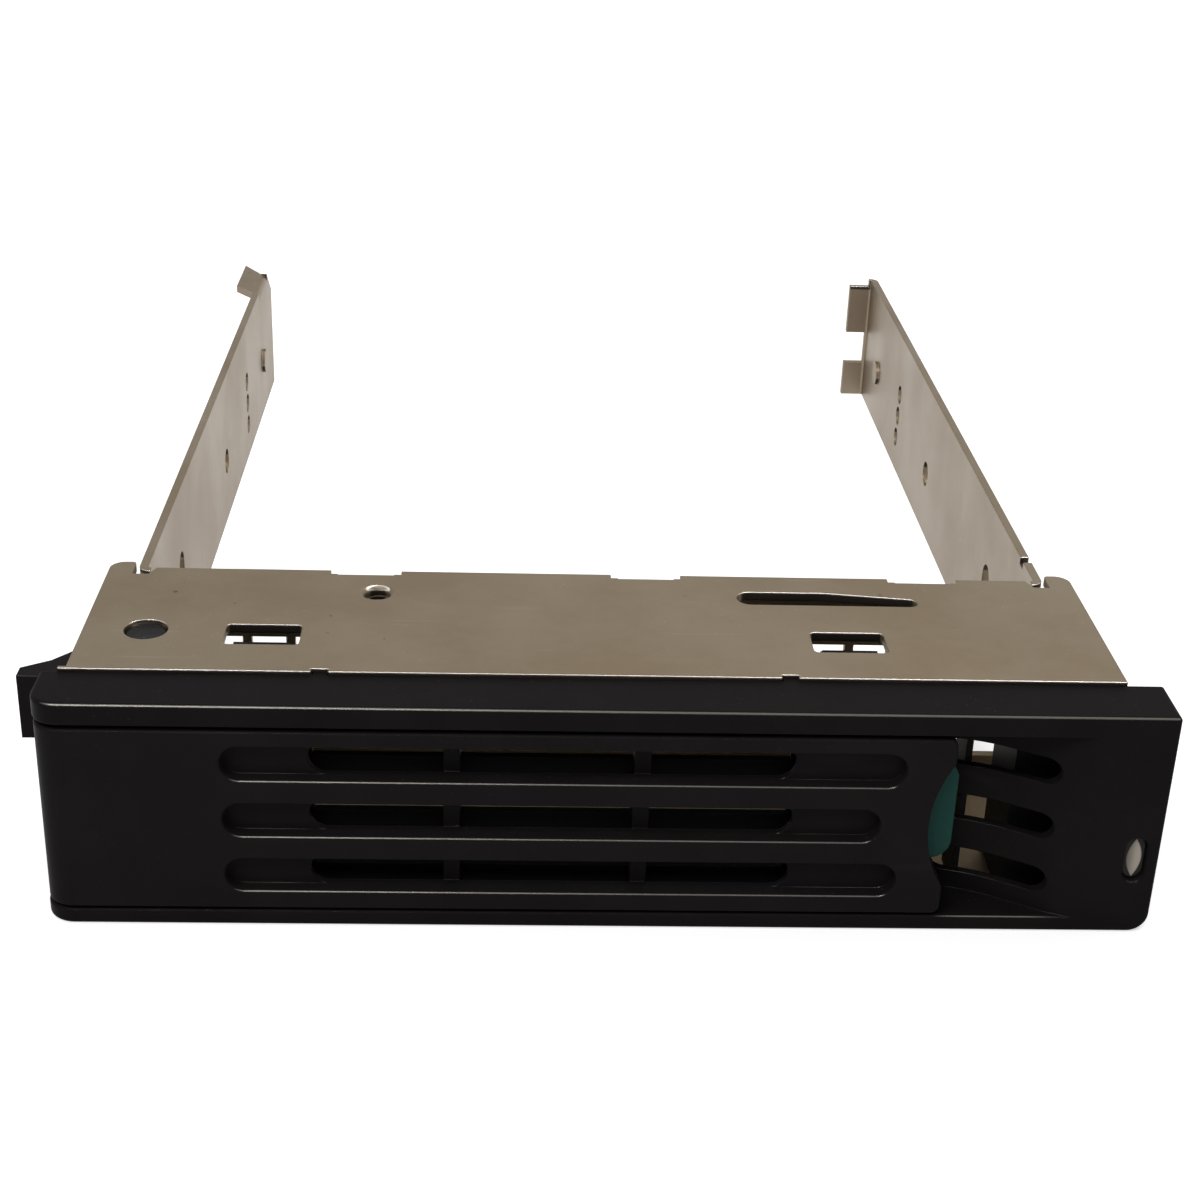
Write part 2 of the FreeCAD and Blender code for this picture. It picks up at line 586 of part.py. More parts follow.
def rail_holes(body, side, name):
    """Drive screw holes, the stacked holes and the guide dimple of a rail."""
    holes = sketch(body, name + "Holes", "YZ", RAIL_OUT if side > 0 else "-" + RAIL_IN)
    obround(holes, ("nearHoleY", "screwZ"), ("nearHoleY", "screwZ + nearHoleRise"), "screwRadius")
    circle(holes, "farHoleY", "screwZ", "screwRadius")
    for step in (-1, 0, 1):
        circle(holes, "clusterY", "screwZ + %d * clusterPitch" % step, "clusterRadius")
    pocket(body, holes, "sheet")
    bump = sketch(body, name + "Bump", "YZ", "%d * %s" % (side, RAIL_IN))
    circle(bump, "dimpleY", "screwZ", "dimpleRadius + dimpleWall")
    pad(body, bump, "dimpleDeep", back=side > 0)
    dimple = sketch(body, name + "Dimple", "YZ", "%d * %s" % (side, RAIL_OUT))
    circle(dimple, "dimpleY", "screwZ", "dimpleRadius")
    pocket(body, dimple, "dimpleDeep", back=side < 0)


def wing(body):
    """Guide wing folded outward from the left rail's top edge, swept back."""
    high = "(caddyHeight - bendRadius)"
    root = "(-%s)" % RAIL_OUT
    out = "(-%s - wingReach)" % RAIL_OUT
    past = "(-%s - wingReach - overshoot)" % RAIL_OUT
    axis = "(-%s - %s)" % (RAIL_OUT, INNER_BEND)
    tip = "(wingEnd + wingSweep)"
    hollow(body, "WingRoom", (root, "-%s + overshoot" % RAIL_IN), ("wingStart", "wingEnd"),
           (high, "caddyHeight"))
    profile = sketch(body, "Wing", "XZ", tip)
    outline(profile, [
        (root, high + " - tabRelief"), ("-" + RAIL_IN, high + " - tabRelief"),
        ("-" + RAIL_IN, high, "left", "bendRadius"), (axis, "caddyHeight"), (out, "caddyHeight"),
        (out, PLATE_UNDER), (axis, PLATE_UNDER, "right", INNER_BEND), (root, high)])
    pad(body, profile, tip + " - wingStart")
    slants = sketch(body, "WingSlants", "XY", "caddyHeight")
    outline(slants, [(past, "wingStart - overshoot"), (root, "wingStart - overshoot"),
                     (root, "wingStart"), (out, "wingStart + wingSlope"), (past, "wingStart + wingSlope")])
    outline(slants, [(past, tip), (out, tip), (root, "wingEnd"), (root, tip + " + overshoot"),
                     (past, tip + " + overshoot")])
    pocket(body, slants, "bendRadius")
    corner = sketch(body, "LeftRailCorner", "YZ", "-" + RAIL_IN)
    outline(corner, [("wingEnd", "caddyHeight"), ("railEnd", "caddyHeight - endSlope"),
                     ("railEnd + overshoot", "caddyHeight - endSlope"),
                     ("railEnd + overshoot", "caddyHeight + overshoot"),
                     ("wingEnd", "caddyHeight + overshoot")])
    pocket(body, corner, "sheet")


def plate_openings(body):
    """Snap windows, taper slot, pin holes, and the drawn and tapped hole."""
    for name, x in (("WindowLeft", "windowLeftX"), ("WindowRight", "windowRightX")):
        window = sketch(body, name, "XY", "caddyHeight")
        round_rectangle(window, x + " - windowWide / 2", x + " + windowWide / 2",
                        "windowY - windowDeep / 2", "windowY + windowDeep / 2", "windowRound")
        pocket(body, window, "caddyHeight + overshoot")
    wide_end = ("slotLeftX", "slotFrontY + slotWide / 2")
    kink = ("slotKinkX", "slotFrontY + slotWide / 2")
    slot = sketch(body, "LongSlot", "XY", "caddyHeight")
    obround(slot, wide_end, kink, "slotWide / 2")
    pocket(body, slot, "sheet")
    taper = sketch(body, "SlotTaper", "XY", "caddyHeight")
    obround(taper, kink, ("slotRightX", "slotFrontY + slotNarrow / 2"), "slotWide / 2", "slotNarrow / 2")
    pocket(body, taper, "sheet")
    pin = sketch(body, "PinHoles", "XY", "caddyHeight")
    circle(pin, "pivotX", "pivotY", "pinRadius + pinSeatSlack")
    pocket(body, pin, "caddyHeight + overshoot")
    collar = sketch(body, "Collar", "XY", "%s - collarDrop" % PLATE_UNDER)
    circle(collar, "tapX", "tapY", "collarRadius")
    pad(body, collar, "collarDrop")
    tap = sketch(body, "TapHole", "XY", "caddyHeight")
    circle(tap, "tapX", "tapY", "tapRadius")
    pocket(body, tap, "sheet + collarDrop")
    for name, x in (("NibNotchLeft", "nibLeftX"), ("NibNotchRight", "nibRightX")):
        half = "(nibWide / 2 + nibSlack)"
        hollow(body, name, ("%s - %s" % (x, half), "%s + %s" % (x, half)), ("-overshoot", "nibDeep + nibSlack"),
               (PLATE_UNDER, "caddyHeight"))
    hollow(body, "RailNick", (RAIL_IN + " - overshoot", RAIL_OUT + " + overshoot"),
           ("nickY - nickWide / 2", "nickY + nickWide / 2"), ("caddyHeight - nickDeep", "caddyHeight"))


def build_carrier_frame():
    body = start_body("carrier_frame")
    rear_wall(body)
    base_plate(body)
    rail(body, 1, "RightRail")
    rail(body, -1, "LeftRail")
    rail_lip(body)
    top_plate(body)
    bend_tabs(body)
    rail_holes(body, 1, "RightRail")
    rail_holes(body, -1, "LeftRail")
    wing(body)
    plate_openings(body)
    half = size(PLATE_HALF)
    rear = size("plateDepth + earReach")
    dress(body, "Fillet", "PlateCorners", "cornerRound", lambda e: any(
        lies(e, x=x, y=rear) for x in (-half, half)))
    inner = size("%s + notchOuter" % RAIL_OUT)
    dress(body, "Fillet", "EarCorners", "earRound", lambda e: any(
        lies(e, x=x, y=rear) for x in (-inner, inner)))
    reach = size("tapRadius")
    dress(body, "Fillet", "TapMouth", "tapEntry", lambda e: lies(
        e, x=(size("tapX") - reach, size("tapX") + reach), z=size("caddyHeight"),
        y=(size("tapY") - reach, size("tapY") + reach)))
    vent_holes(body)
    return body


# ---------------------------------------------------------- moulded bezel

def bezel_bands(body):
    """Top and bottom bands, right end and the grille wall that joins them."""
    across = ("-bezelLeft", "bezelRight")
    block(body, "LowBand", across, (FRONT, "0"), ("0", "lowBand"))
    block(body, "RightEnd", ("scoopEnd", "bezelRight"), (FRONT, "0"), ("0", BEZEL_TOP))
    block(body, "TopBand", across, (FRONT, "0"), (BAND_UNDER, BEZEL_TOP))
    block(body, "GrilleWall", ("grilleLeft", "scoopStart"), ("-grilleThick", "0"), ("0", BEZEL_TOP))


def finger_scoop(body):
    """Curved wall that leads a fingertip in behind the lever's free end."""
    back_turn = "(hollowRadius - grilleThick)"
    back_crest = "(crestRadius - grilleThick)"
    lean = "asin((scoopCrestX - scoopMidX) / sqrt((scoopCrestX - scoopMidX)^2"
    lean += " + (scoopCrestY - scoopMidY)^2))"
    step_x = "grilleThick * cos(%s)" % lean
    step_y = "grilleThick * sin(%s)" % lean
    profile = sketch(body, "Scoop", "XY", "0")
    outline(profile, [
        ("scoopStart", "-grilleThick", "right", "hollowRadius"), ("scoopMidX", "scoopMidY"),
        ("scoopCrestX", "scoopCrestY", "left", "crestRadius"), ("scoopEnd", FRONT),
        ("scoopEnd", "grilleThick - bezelDeep", "right", back_crest),
        ("scoopCrestX + " + step_x, "scoopCrestY + " + step_y),
        ("scoopMidX + " + step_x, "scoopMidY + " + step_y, "left", "hollowRadius + grilleThick"),
        ("scoopStart", "0")])
    pad(body, profile, BEZEL_TOP)
    slots = sketch(body, "ScoopSlots", "XZ", FRONT)
    radius = "(scoopSlotTall / 2)"
    for row in (-1, 0, 1):
        level = "%s + scoopSlotShift + %d * scoopSlotPitch" % (LEVER_MIDDLE, row)
        obround(slots, ("scoopSlotStart + " + radius, level), ("scoopSlotEnd - " + radius, level), radius)
    pocket(body, slots, "bezelDeep")
    block(body, "ScoopRib", ("scoopRibX - ribThin / 2", "scoopRibX + ribThin / 2"),
          ("-grilleThick / 2", "scoopRibDeep"), ("lowBand", BAND_UNDER))
    block(body, "EndBlock", ("endBlockStart", "scoopEnd + moulding"), ("-moulding", "endBlockDeep"),
          ("sheet + snapSlack", PLATE_UNDER + " - snapSlack"))


def grille_openings(body):
    """Openings of the grille wall behind the lever's slots and its latch."""
    gap = "(ribWide / 2)"
    spans = [("openLeft", "ribLeftX - " + gap), ("ribLeftX + " + gap, "ribRightX - " + gap),
             ("ribRightX + " + gap, "openRight")]
    openings = sketch(body, "GrilleOpenings", "XZ", "-grilleThick")
    for row in (-1, 0, 1):
        middle = "(%s + ventShift + %d * ventPitch)" % (LEVER_MIDDLE, row)
        half = "(ventTall / 2 + grilleExtra)"
        for left, right in spans:
            rectangle(openings, left, right, "%s - %s" % (middle, half), "%s + %s" % (middle, half))
    rectangle(openings, "strikeRight - strikeWide", "strikeRight", STEM_LOW + " - strikeSlack",
              STEM_HIGH + " + strikeSlack")
    pocket(body, openings, "grilleThick")


def snap_arm(body, name, x, high):
    """Snap arm under the top plate, or over the base plate."""
    if high:
        near = "(%s - snapSlack)" % PLATE_UNDER
        arm = (near + " - snapThick", near)
        tooth = ("%s - snapThick / 2" % near, near + " + snapBite")
    else:
        near = "(sheet + snapSlack)"
        arm = (near, near + " + snapThick")
        tooth = (near + " - snapBite", near + " + snapThick / 2")
    across = (x + " - snapWide / 2", x + " + snapWide / 2")
    block(body, name + "Arm", across, ("-grilleThick", "snapLength"), arm)
    start = "(windowY - windowDeep / 2 + snapHold)"
    block(body, name + "Tooth", across, (start, start + " + toothLength"), tooth)


def light_pipe_seat(body):
    """Oval passage for the light pipe and the core above it."""
    rise = "(pipeTall / 2 - pipeRadius)"
    passage = sketch(body, "PipePassage", "XZ", FRONT)
    obround(passage, ("pipeX", "pipeZ - " + rise), ("pipeX", "pipeZ + " + rise), "pipeRadius + pipeSlack")
    pocket(body, passage, "bezelDeep")
    hollow(body, "EndCore", ("scoopEnd + moulding / 2", "bezelRight - moulding"),
           ("moulding - bezelDeep", "overshoot"), ("pipeZ + pipeTall / 2 + moulding", BAND_UNDER))


def build_bezel():
    body = start_body("bezel")
    bezel_bands(body)
    finger_scoop(body)
    grille_openings(body)
    for name, x in (("Left", "windowLeftX"), ("Right", "windowRightX")):
        snap_arm(body, name + "Top", x, True)
        snap_arm(body, name + "Low", x, False)
    for name, x in (("LeftNib", "nibLeftX"), ("RightNib", "nibRightX")):
        block(body, name, (x + " - nibWide / 2", x + " + nibWide / 2"), ("-grilleThick", "nibDeep"),
              (PLATE_UNDER + " + snapSlack", BEZEL_TOP))
    light_pipe_seat(body)
    front = size(FRONT)
    left, right = size("-bezelLeft"), size("bezelRight")
    dress(body, "Fillet", "LeftEndRound", "endRound", lambda e: lies(e, x=left, y=front))
    dress(body, "Fillet", "LowRightRound", "lowRightRound", lambda e: lies(
        e, x=right, z=0) and e.BoundBox.YLength > size("moulding"))
    start = right - size("endRound")
    dress(body, "Fillet", "RightFrontEdges", "bezelEdge", lambda e: lies(
        e, y=front, x=(start, right), z=(0, size(BEZEL_TOP))))
    around = (front, front + size("endRound"))
    for name, level, amount in (("TopBandHigh", BEZEL_TOP, "bezelEdge"), ("TopBandLow", BAND_UNDER, "bandEdge"),
                                ("LowBandHigh", "lowBand", "bandEdge")):
        dress(body, "Fillet", name, amount, lambda e: lies(e, z=size(level), y=front) or (
            lies(e, z=size(level), y=around) and e.BoundBox.XMax < left + size("endRound") + size("bezelEdge")))
    return body


# ---------------------------------------------------------- ejector lever

def lever_bar(body):
    """The lever's hollow bar, its finger bite and its slots."""
    block(body, "Bar", ("-leverLeft", "leverRight"), (FRONT, LEVER_BACK), (LEVER_LOW, LEVER_HIGH))
    bite = sketch(body, "Bite", "XZ", FRONT)
    low = "%s + biteShift - biteTall / 2" % LEVER_MIDDLE
    high = "%s + biteShift + biteTall / 2" % LEVER_MIDDLE
    outline(bite, [("leverRight", low), ("leverRight + overshoot", low),
                   ("leverRight + overshoot", high), ("leverRight", high, "left", "biteRadius")])
    pocket(body, bite, "bezelDeep")
    gap = "(ribWide / 2)"
    spans = [("armRootX + leverWall", "ribLeftX - " + gap),
             ("ribLeftX + " + gap, "ribRightX - " + gap),
             ("ribRightX + " + gap, "latchPocketLeft - leverWall")]
    pockets = sketch(body, "BackPockets", "XY", "%s - leverWall" % LEVER_HIGH)
    for left, right in spans:
        rectangle(pockets, left, right, LEVER_FACE_BACK, LEVER_BACK)
    pocket(body, pockets, "%s - %s - 2 * leverWall" % (LEVER_HIGH, LEVER_LOW))
    hollow(body, "LatchPocket", ("latchPocketLeft", "leverRight + overshoot"), (LEVER_FACE_BACK, LEVER_BACK),
           (LATCH_LOW + " - latchSide", LATCH_HIGH + " + latchSide"))
    radius = "(ventTall / 2)"
    slots = sketch(body, "Slots", "XZ", FRONT)
    opens = sketch(body, "SlotOpenings", "XZ", FRONT)
    for row, end in ((-1, "ventRight"), (0, "ventRightMid"), (1, "ventRight")):
        level = "%s + ventShift + %d * ventPitch" % (LEVER_MIDDLE, row)
        obround(slots, ("ventLeft + " + radius, level), (end + " - " + radius, level), radius)
        obround(opens, ("openLeft + " + radius, level), ("openRight - " + radius, level), radius)
    pocket(body, slots, "ventSink")
    pocket(body, opens, "leverFace")


def lever_lips(body):
    """Lips that hold the latch against the back of the lever's face."""
    y = ("%s + lipSlack" % LATCH_BACK, LEVER_BACK)
    x = ("lipStart", "leverRight - lipEnd")
    block(body, "LipHigh", x, y,
          (LATCH_HIGH + " + latchSide - lipCover", LATCH_HIGH + " + 2 * latchSide"))
    block(body, "LipLow", x, y,
          (LATCH_LOW + " - 2 * latchSide", LATCH_LOW + " - latchSide + lipCover"))


def lever_arm(body):
    """Arm, hub and ejector hook at the lever's left end."""
    hub_low = "(sheet + hubGapLow)"
    hub_high = "(%s - hubGapTop)" % PLATE_UNDER
    arm = sketch(body, "Arm", "XY", LEVER_LOW)
    outline(arm, [("-leverLeft + leverWall", LEVER_BACK + " - leverWall"),
                  ("armRootX", LEVER_BACK + " - leverWall"),
                  ("pivotX + hubRadius * cos(armLean)", "pivotY - hubRadius * sin(armLean)"),
                  ("pivotX - hubRadius * sin(armLean)", "pivotY + hubRadius * cos(armLean)"),
                  ("-leverLeft + leverWall", "armShoulderY")])
    pad(body, arm, "%s - %s" % (LEVER_HIGH, LEVER_LOW))
    hub = sketch(body, "Hub", "XY", hub_low)
    circle(hub, "pivotX", "pivotY", "hubRadius")
    pad(body, hub, "%s - %s" % (hub_high, hub_low))
    hook = sketch(body, "Hook", "XY", hub_high + " - hookTall")
    tip = "(-leverLeft - hookReach)"
    outline(hook, [(tip, "hookFrontY"), ("armRootX - hookReach", "hookFrontY"),
                   ("pivotX", "pivotY - hubRadius * sin(armLean)"),
                   ("pivotX - hubRadius * sin(armLean)", "pivotY + hubRadius * cos(armLean)"),
                   ("hookNeckX", "hookNeckY"), (tip, "hookTipY")])
    pad(body, hook, "hookTall")
    bore = sketch(body, "Bore", "XY", hub_high)
    circle(bore, "pivotX", "pivotY", "pinRadius + pinRunSlack")
    pocket(body, bore, "caddyHeight")


def build_lever():
    body = start_body("lever")
    lever_bar(body)
    lever_lips(body)
    lever_arm(body)
    front = size(FRONT)
    dress(body, "Fillet", "LeftRound", "leverRound", lambda e: lies(e, x=size("-leverLeft"), y=front))
    low, high = size(LEVER_LOW), size(LEVER_HIGH)
    dress(body, "Fillet", "EndCorners", "leverCorner", lambda e: any(lies(
        e, x=size("leverRight"), z=z) for z in (low, high)))
    dress(body, "Fillet", "SlotMouths", "leverEdge", lambda e: lies(
        e, y=front, x=(size("ventLeft"), size("ventRight")), z=(low + size("leverEdge"), high - size("leverEdge"))))
    around = (front, front + size("leverRound"))
    dress(body, "Fillet", "FaceEdges", "leverEdge", lambda e: lies(e, y=front, z=low) or lies(
        e, y=front, z=high) or any(lies(e, z=z, y=around) and e.BoundBox.XMax < 0 for z in (low, high)))
    return body


# ---------------------------------------------------------- pin and clip

def build_pivot_pin():
    body = start_body("pivot_pin")
    low = "pinSink"
    high = "(caddyHeight - pinSink)"
    groove = "(sheet + clipLift - clipSlack)"
    groove_top = "(sheet + clipLift + clipThick + clipSlack)"
    floor = "(pinRadius - grooveDeep)"
    profile = sketch(body, "PinSection", "XZ", "0")
    outline(profile, [
        ("0", low), ("pinRadius - pinChamfer", low), ("pinRadius", low + " + pinChamfer"),
        ("pinRadius", groove), (floor, groove), (floor, groove_top), ("pinRadius", groove_top),
        ("pinRadius", high + " - pinChamfer"), ("pinRadius - pinChamfer", high), ("0", high)])
    turned = body.newObject("PartDesign::Revolution", "PinTurning")
    turned.Profile = profile
    turned.ReferenceAxis = (profile, ["V_Axis"])
    turned.Angle = 360
    doc.recompute()
    return body


def build_pin_clip():
    body = start_body("pin_clip")
    level = "(sheet + clipLift)"
    grip = "(pinRadius - grooveDeep + clipSlack)"
    ring = sketch(body, "Ring", "XY", level)
    circle(ring, "0", "0", "clipRadius")
    circle(ring, "0", "0", grip + " + clipLobe")
    pad(body, ring, "clipThick")
    for name, x, y in (
            ("ToothRight", (grip, grip + " + clipTooth"), ("-clipLobe", "clipLobe")),
            ("ToothBack", ("-clipLobe", "clipLobe"), (grip, grip + " + clipTooth")),
            ("ToothFront", ("-clipLobe", "clipLobe"), ("-%s - clipTooth" % grip, "-" + grip))):
        block(body, name, x, y, (level, level + " + clipThick"))
    hollow(body, "Mouth", ("-clipRadius - overshoot", "-mouthStart"), ("-clipMouth / 2", "clipMouth / 2"),
           (level, level + " + clipThick"))
    return body


# ---------------------------------------------------------- latch, spring, lens

def build_latch():
    body = start_body("latch")
    profile = sketch(body, "Slider", "XZ", LATCH_BACK)
    outline(profile, [
        ("latchLeft", LATCH_LOW), ("latchRight", LATCH_LOW),
        ("latchRight", LATCH_HIGH + " - latchTaper"), ("latchRight - latchTaperWide", LATCH_HIGH),
        ("latchLeft", LATCH_HIGH)])
    pad(body, profile, "latchThick")
    level = (STEM_LOW, STEM_HIGH)
    block(body, "Stem", ("stemLeft", "stemRight"), (LATCH_BACK + " - latchThick / 2", STEM_BACK), level)
    block(body, "Catch", ("stemRight - catchReach", "stemRight + catchReach"),
          ("catchSlack", STEM_BACK), level)
    peg = sketch(body, "Peg", "YZ", "latchLeft")
    circle(peg, SPRING_Y, SPRING_Z, "pegRadius")
    pad(body, peg, "pegLength", back=True)
    back = size(STEM_BACK)
    dress(body, "Fillet", "PadLowRound", "latchRound", lambda e: lies(
        e, x=size("latchRight"), z=size(LATCH_LOW)))
    dress(body, "Chamfer", "CatchRamp", "catchRamp", lambda e: lies(
        e, x=size("stemRight + catchReach"), y=back))
    return body


def build_latch_spring():
    body = start_body("latch_spring")
    length = "(latchLeft - latchPocketLeft - 2 * springSeat)"
    wire = sketch(body, "Wire", "XZ", "0")
    circle(wire, "springWire / 2", "springRadius", "springWire / 2")
    coil = body.newObject("PartDesign::AdditiveHelix", "Coil")
    coil.Profile = wire
    coil.ReferenceAxis = (wire, ["H_Axis"])
    coil.Mode = 2
    coil.setExpression("Height", cells(length + " - springWire"))
    coil.setExpression("Turns", "Sizes.springTurns")
    doc.recompute()
    return body


def build_light_pipe():
    body = start_body("light_pipe")
    rise = "(pipeTall / 2 - pipeRadius)"
    low, high = ("pipeX", "pipeZ - " + rise), ("pipeX", "pipeZ + " + rise)
    rod = sketch(body, "Rod", "XZ", "pipeTail")
    obround(rod, low, high, "pipeRadius")
    pad(body, rod, "pipeTail + bezelDeep - pipeRecess")
    flange = sketch(body, "Flange", "XZ", "pipeFlangeThick")
    obround(flange, low, high, "pipeRadius + pipeFlange")
    pad(body, flange, "pipeFlangeThick")
    return body


# ---------------------------------------------------------- assembly

def settle(body, x, y, z):
    """Place a body, with the seam half a plate's depth in front of the origin."""
    for axis, text in (("x", x), ("y", "(%s) - plateDepth / 2" % y), ("z", z)):
        body.setExpression(".Placement.Base." + axis, cells(text))


pieces = {
    "carrier_frame": (build_carrier_frame, ("0", "0", "0")),
    "bezel": (build_bezel, ("0", "0", "0")),
    "lever": (build_lever, ("0", "0", "0")),
    "pivot_pin": (build_pivot_pin, ("pivotX", "pivotY", "0")),
    "pin_clip": (build_pin_clip, ("pivotX", "pivotY", "0")),
    "latch": (build_latch, ("0", "0", "0")),
    "latch_spring": (build_latch_spring, ("latchPocketLeft + springSeat", SPRING_Y, SPRING_Z)),
    "light_pipe": (build_light_pipe, ("0", "0", "0")),
}
bodies = {}
for label, (build, place) in pieces.items():
    bodies[label] = build()
    settle(bodies[label], *place)
    print("built", label)
doc.recompute()

for item in doc.Objects:
    if "Invalid" in item.State or "Error" in item.State:
        raise RuntimeError("%s did not recompute: %s" % (item.Label, item.State))
for label, body in bodies.items():
    shape = body.Shape
    if shape.isNull() or not shape.isValid() or len(shape.Solids) != 1:
        raise RuntimeError("%s has no single valid solid" % label)
    shape.exportStep("parts/%s.step" % label)
    print(label, "volume %.1f" % shape.Volume, shape.BoundBox)
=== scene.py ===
# Hot swap drive caddy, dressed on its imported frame.
import json
import math
import bmesh
import bpy
from mathutils import Matrix, Vector


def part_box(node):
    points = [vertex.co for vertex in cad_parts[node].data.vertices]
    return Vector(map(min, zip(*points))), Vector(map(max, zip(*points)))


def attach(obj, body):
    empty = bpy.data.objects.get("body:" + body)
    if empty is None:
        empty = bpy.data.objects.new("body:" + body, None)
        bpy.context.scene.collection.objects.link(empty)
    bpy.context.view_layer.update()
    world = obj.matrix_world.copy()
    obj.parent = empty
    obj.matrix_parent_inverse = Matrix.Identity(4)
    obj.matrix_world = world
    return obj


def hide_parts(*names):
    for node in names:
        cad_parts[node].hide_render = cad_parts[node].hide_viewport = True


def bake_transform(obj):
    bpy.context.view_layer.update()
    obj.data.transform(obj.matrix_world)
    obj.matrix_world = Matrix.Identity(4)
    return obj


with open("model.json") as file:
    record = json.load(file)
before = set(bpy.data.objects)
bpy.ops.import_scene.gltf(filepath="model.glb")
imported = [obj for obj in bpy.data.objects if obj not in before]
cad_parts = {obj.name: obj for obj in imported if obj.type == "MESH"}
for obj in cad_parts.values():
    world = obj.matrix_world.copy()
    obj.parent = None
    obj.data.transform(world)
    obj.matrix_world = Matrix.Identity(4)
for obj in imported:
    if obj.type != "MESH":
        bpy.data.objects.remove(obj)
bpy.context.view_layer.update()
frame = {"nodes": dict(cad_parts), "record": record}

mm = 0.001
nodeStep = (190, 170)  # from node to node in the editor
nodes = frame["nodes"]
mounts = {mount["name"]: mount for mount in frame["record"]["mounts"]}
print("frame loaded:", len(nodes), "nodes")


# helpers that place nodes and fill their sockets

def place(tree, kind, spot, **values):
    node = tree.nodes.new(kind)
    node.location = (spot[0] * nodeStep[0], -spot[1] * nodeStep[1])
    for key, value in values.items():
        setattr(node, key, value)
    return node


def join(tree, source, target):
    tree.links.new(source, target)


def feed(tree, value, socket):
    # another node's output is joined to the socket, a number or a colour is written on it
    if isinstance(value, bpy.types.NodeSocket):
        join(tree, value, socket)
    elif isinstance(value, tuple):
        socket.default_value = (*value, 1.0)
    else:
        socket.default_value = value


def mathNode(tree, operation, spot, *values):
    node = place(tree, "ShaderNodeMath", spot, operation=operation)
    for value, socket in zip(values, node.inputs):
        feed(tree, value, socket)
    return node.outputs[0]


def blendColour(tree, spot, factor, first, second):
    node = place(tree, "ShaderNodeMix", spot, data_type="RGBA")
    for value, socket in ((factor, 0), (first, 6), (second, 7)):
        feed(tree, value, node.inputs[socket])
    return node.outputs[2]


def blendValue(tree, spot, factor, first, second):
    node = place(tree, "ShaderNodeMix", spot, data_type="FLOAT")
    for value, socket in ((factor, 0), (first, 2), (second, 3)):
        feed(tree, value, node.inputs[socket])
    return node.outputs[0]


def spread(tree, spot, value, low, high, newLow=0.0, newHigh=1.0):
    # a smooth step from low to high, either way round
    node = place(tree, "ShaderNodeMapRange", spot, interpolation_type="SMOOTHSTEP")
    for given, name in ((value, "Value"), (low, "From Min"), (high, "From Max"),
                        (newLow, "To Min"), (newHigh, "To Max")):
        feed(tree, given, node.inputs[name])
    return node.outputs[0]


def noise(tree, spot, vector, scale, detail=3.0, roughness=0.5):
    node = place(tree, "ShaderNodeTexNoise", spot)
    for given, name in ((vector, "Vector"), (scale, "Scale"), (detail, "Detail"),
                        (roughness, "Roughness")):
        feed(tree, given, node.inputs[name])
    return node.outputs[0]


def splitVector(tree, spot, vector):
    node = place(tree, "ShaderNodeSeparateXYZ", spot)
    join(tree, vector, node.inputs[0])
    return node.outputs


def makeGroup(name, inputs, outputs):
    # a shader group with float inputs (name, value) and outputs (name, socket type)
    group = bpy.data.node_groups.new(name, "ShaderNodeTree")
    for label, value in inputs:
        socket = group.interface.new_socket(label, in_out="INPUT", socket_type="NodeSocketFloat")
        socket.default_value = value
    for label, kind in outputs:
        group.interface.new_socket(label, in_out="OUTPUT", socket_type=kind)
    return group, place(group, "NodeGroupInput", (-2, 0)), place(group, "NodeGroupOutput", (8, 0))


# effects that more than one material uses; a pair is where a smooth step starts and ends

edgeSettings = {
    "samples": 6, "ragDetail": (4.0, 0.6), "raggedness": -0.14, "wornFrom": 0.5, "worn": (0.93, 0.72),
    "lineLean": (-0.4, -0.485), "lineOpen": (0.66, 0.84), "rimLean": (0.3, 0.45)}
dustSettings = {
    "speckSize": 0.34, "onFaces": (-0.2, 0.9, 0.25, 1.0), "patchScale": 90.0, "patches": (0.35, 0.7)}
rubSettings = {
    "angles": (0.35, -0.9, 1.45), "lie": (0.6, 0.3, 1.0), "stretch": (0.05, 1.0, 1.0),
    "streakDetail": 2.0, "streaks": (0.69, 0.73), "gapDetail": 1.0, "gapScale": 60.0,
    "gapScaleStep": 17.0, "gaps": (0.5, 0.62)}
grainSettings = {"grainDetail": (2.0, 0.6), "flowDetail": (3.0, 0.55), "flow": (0.3, 0.7)}


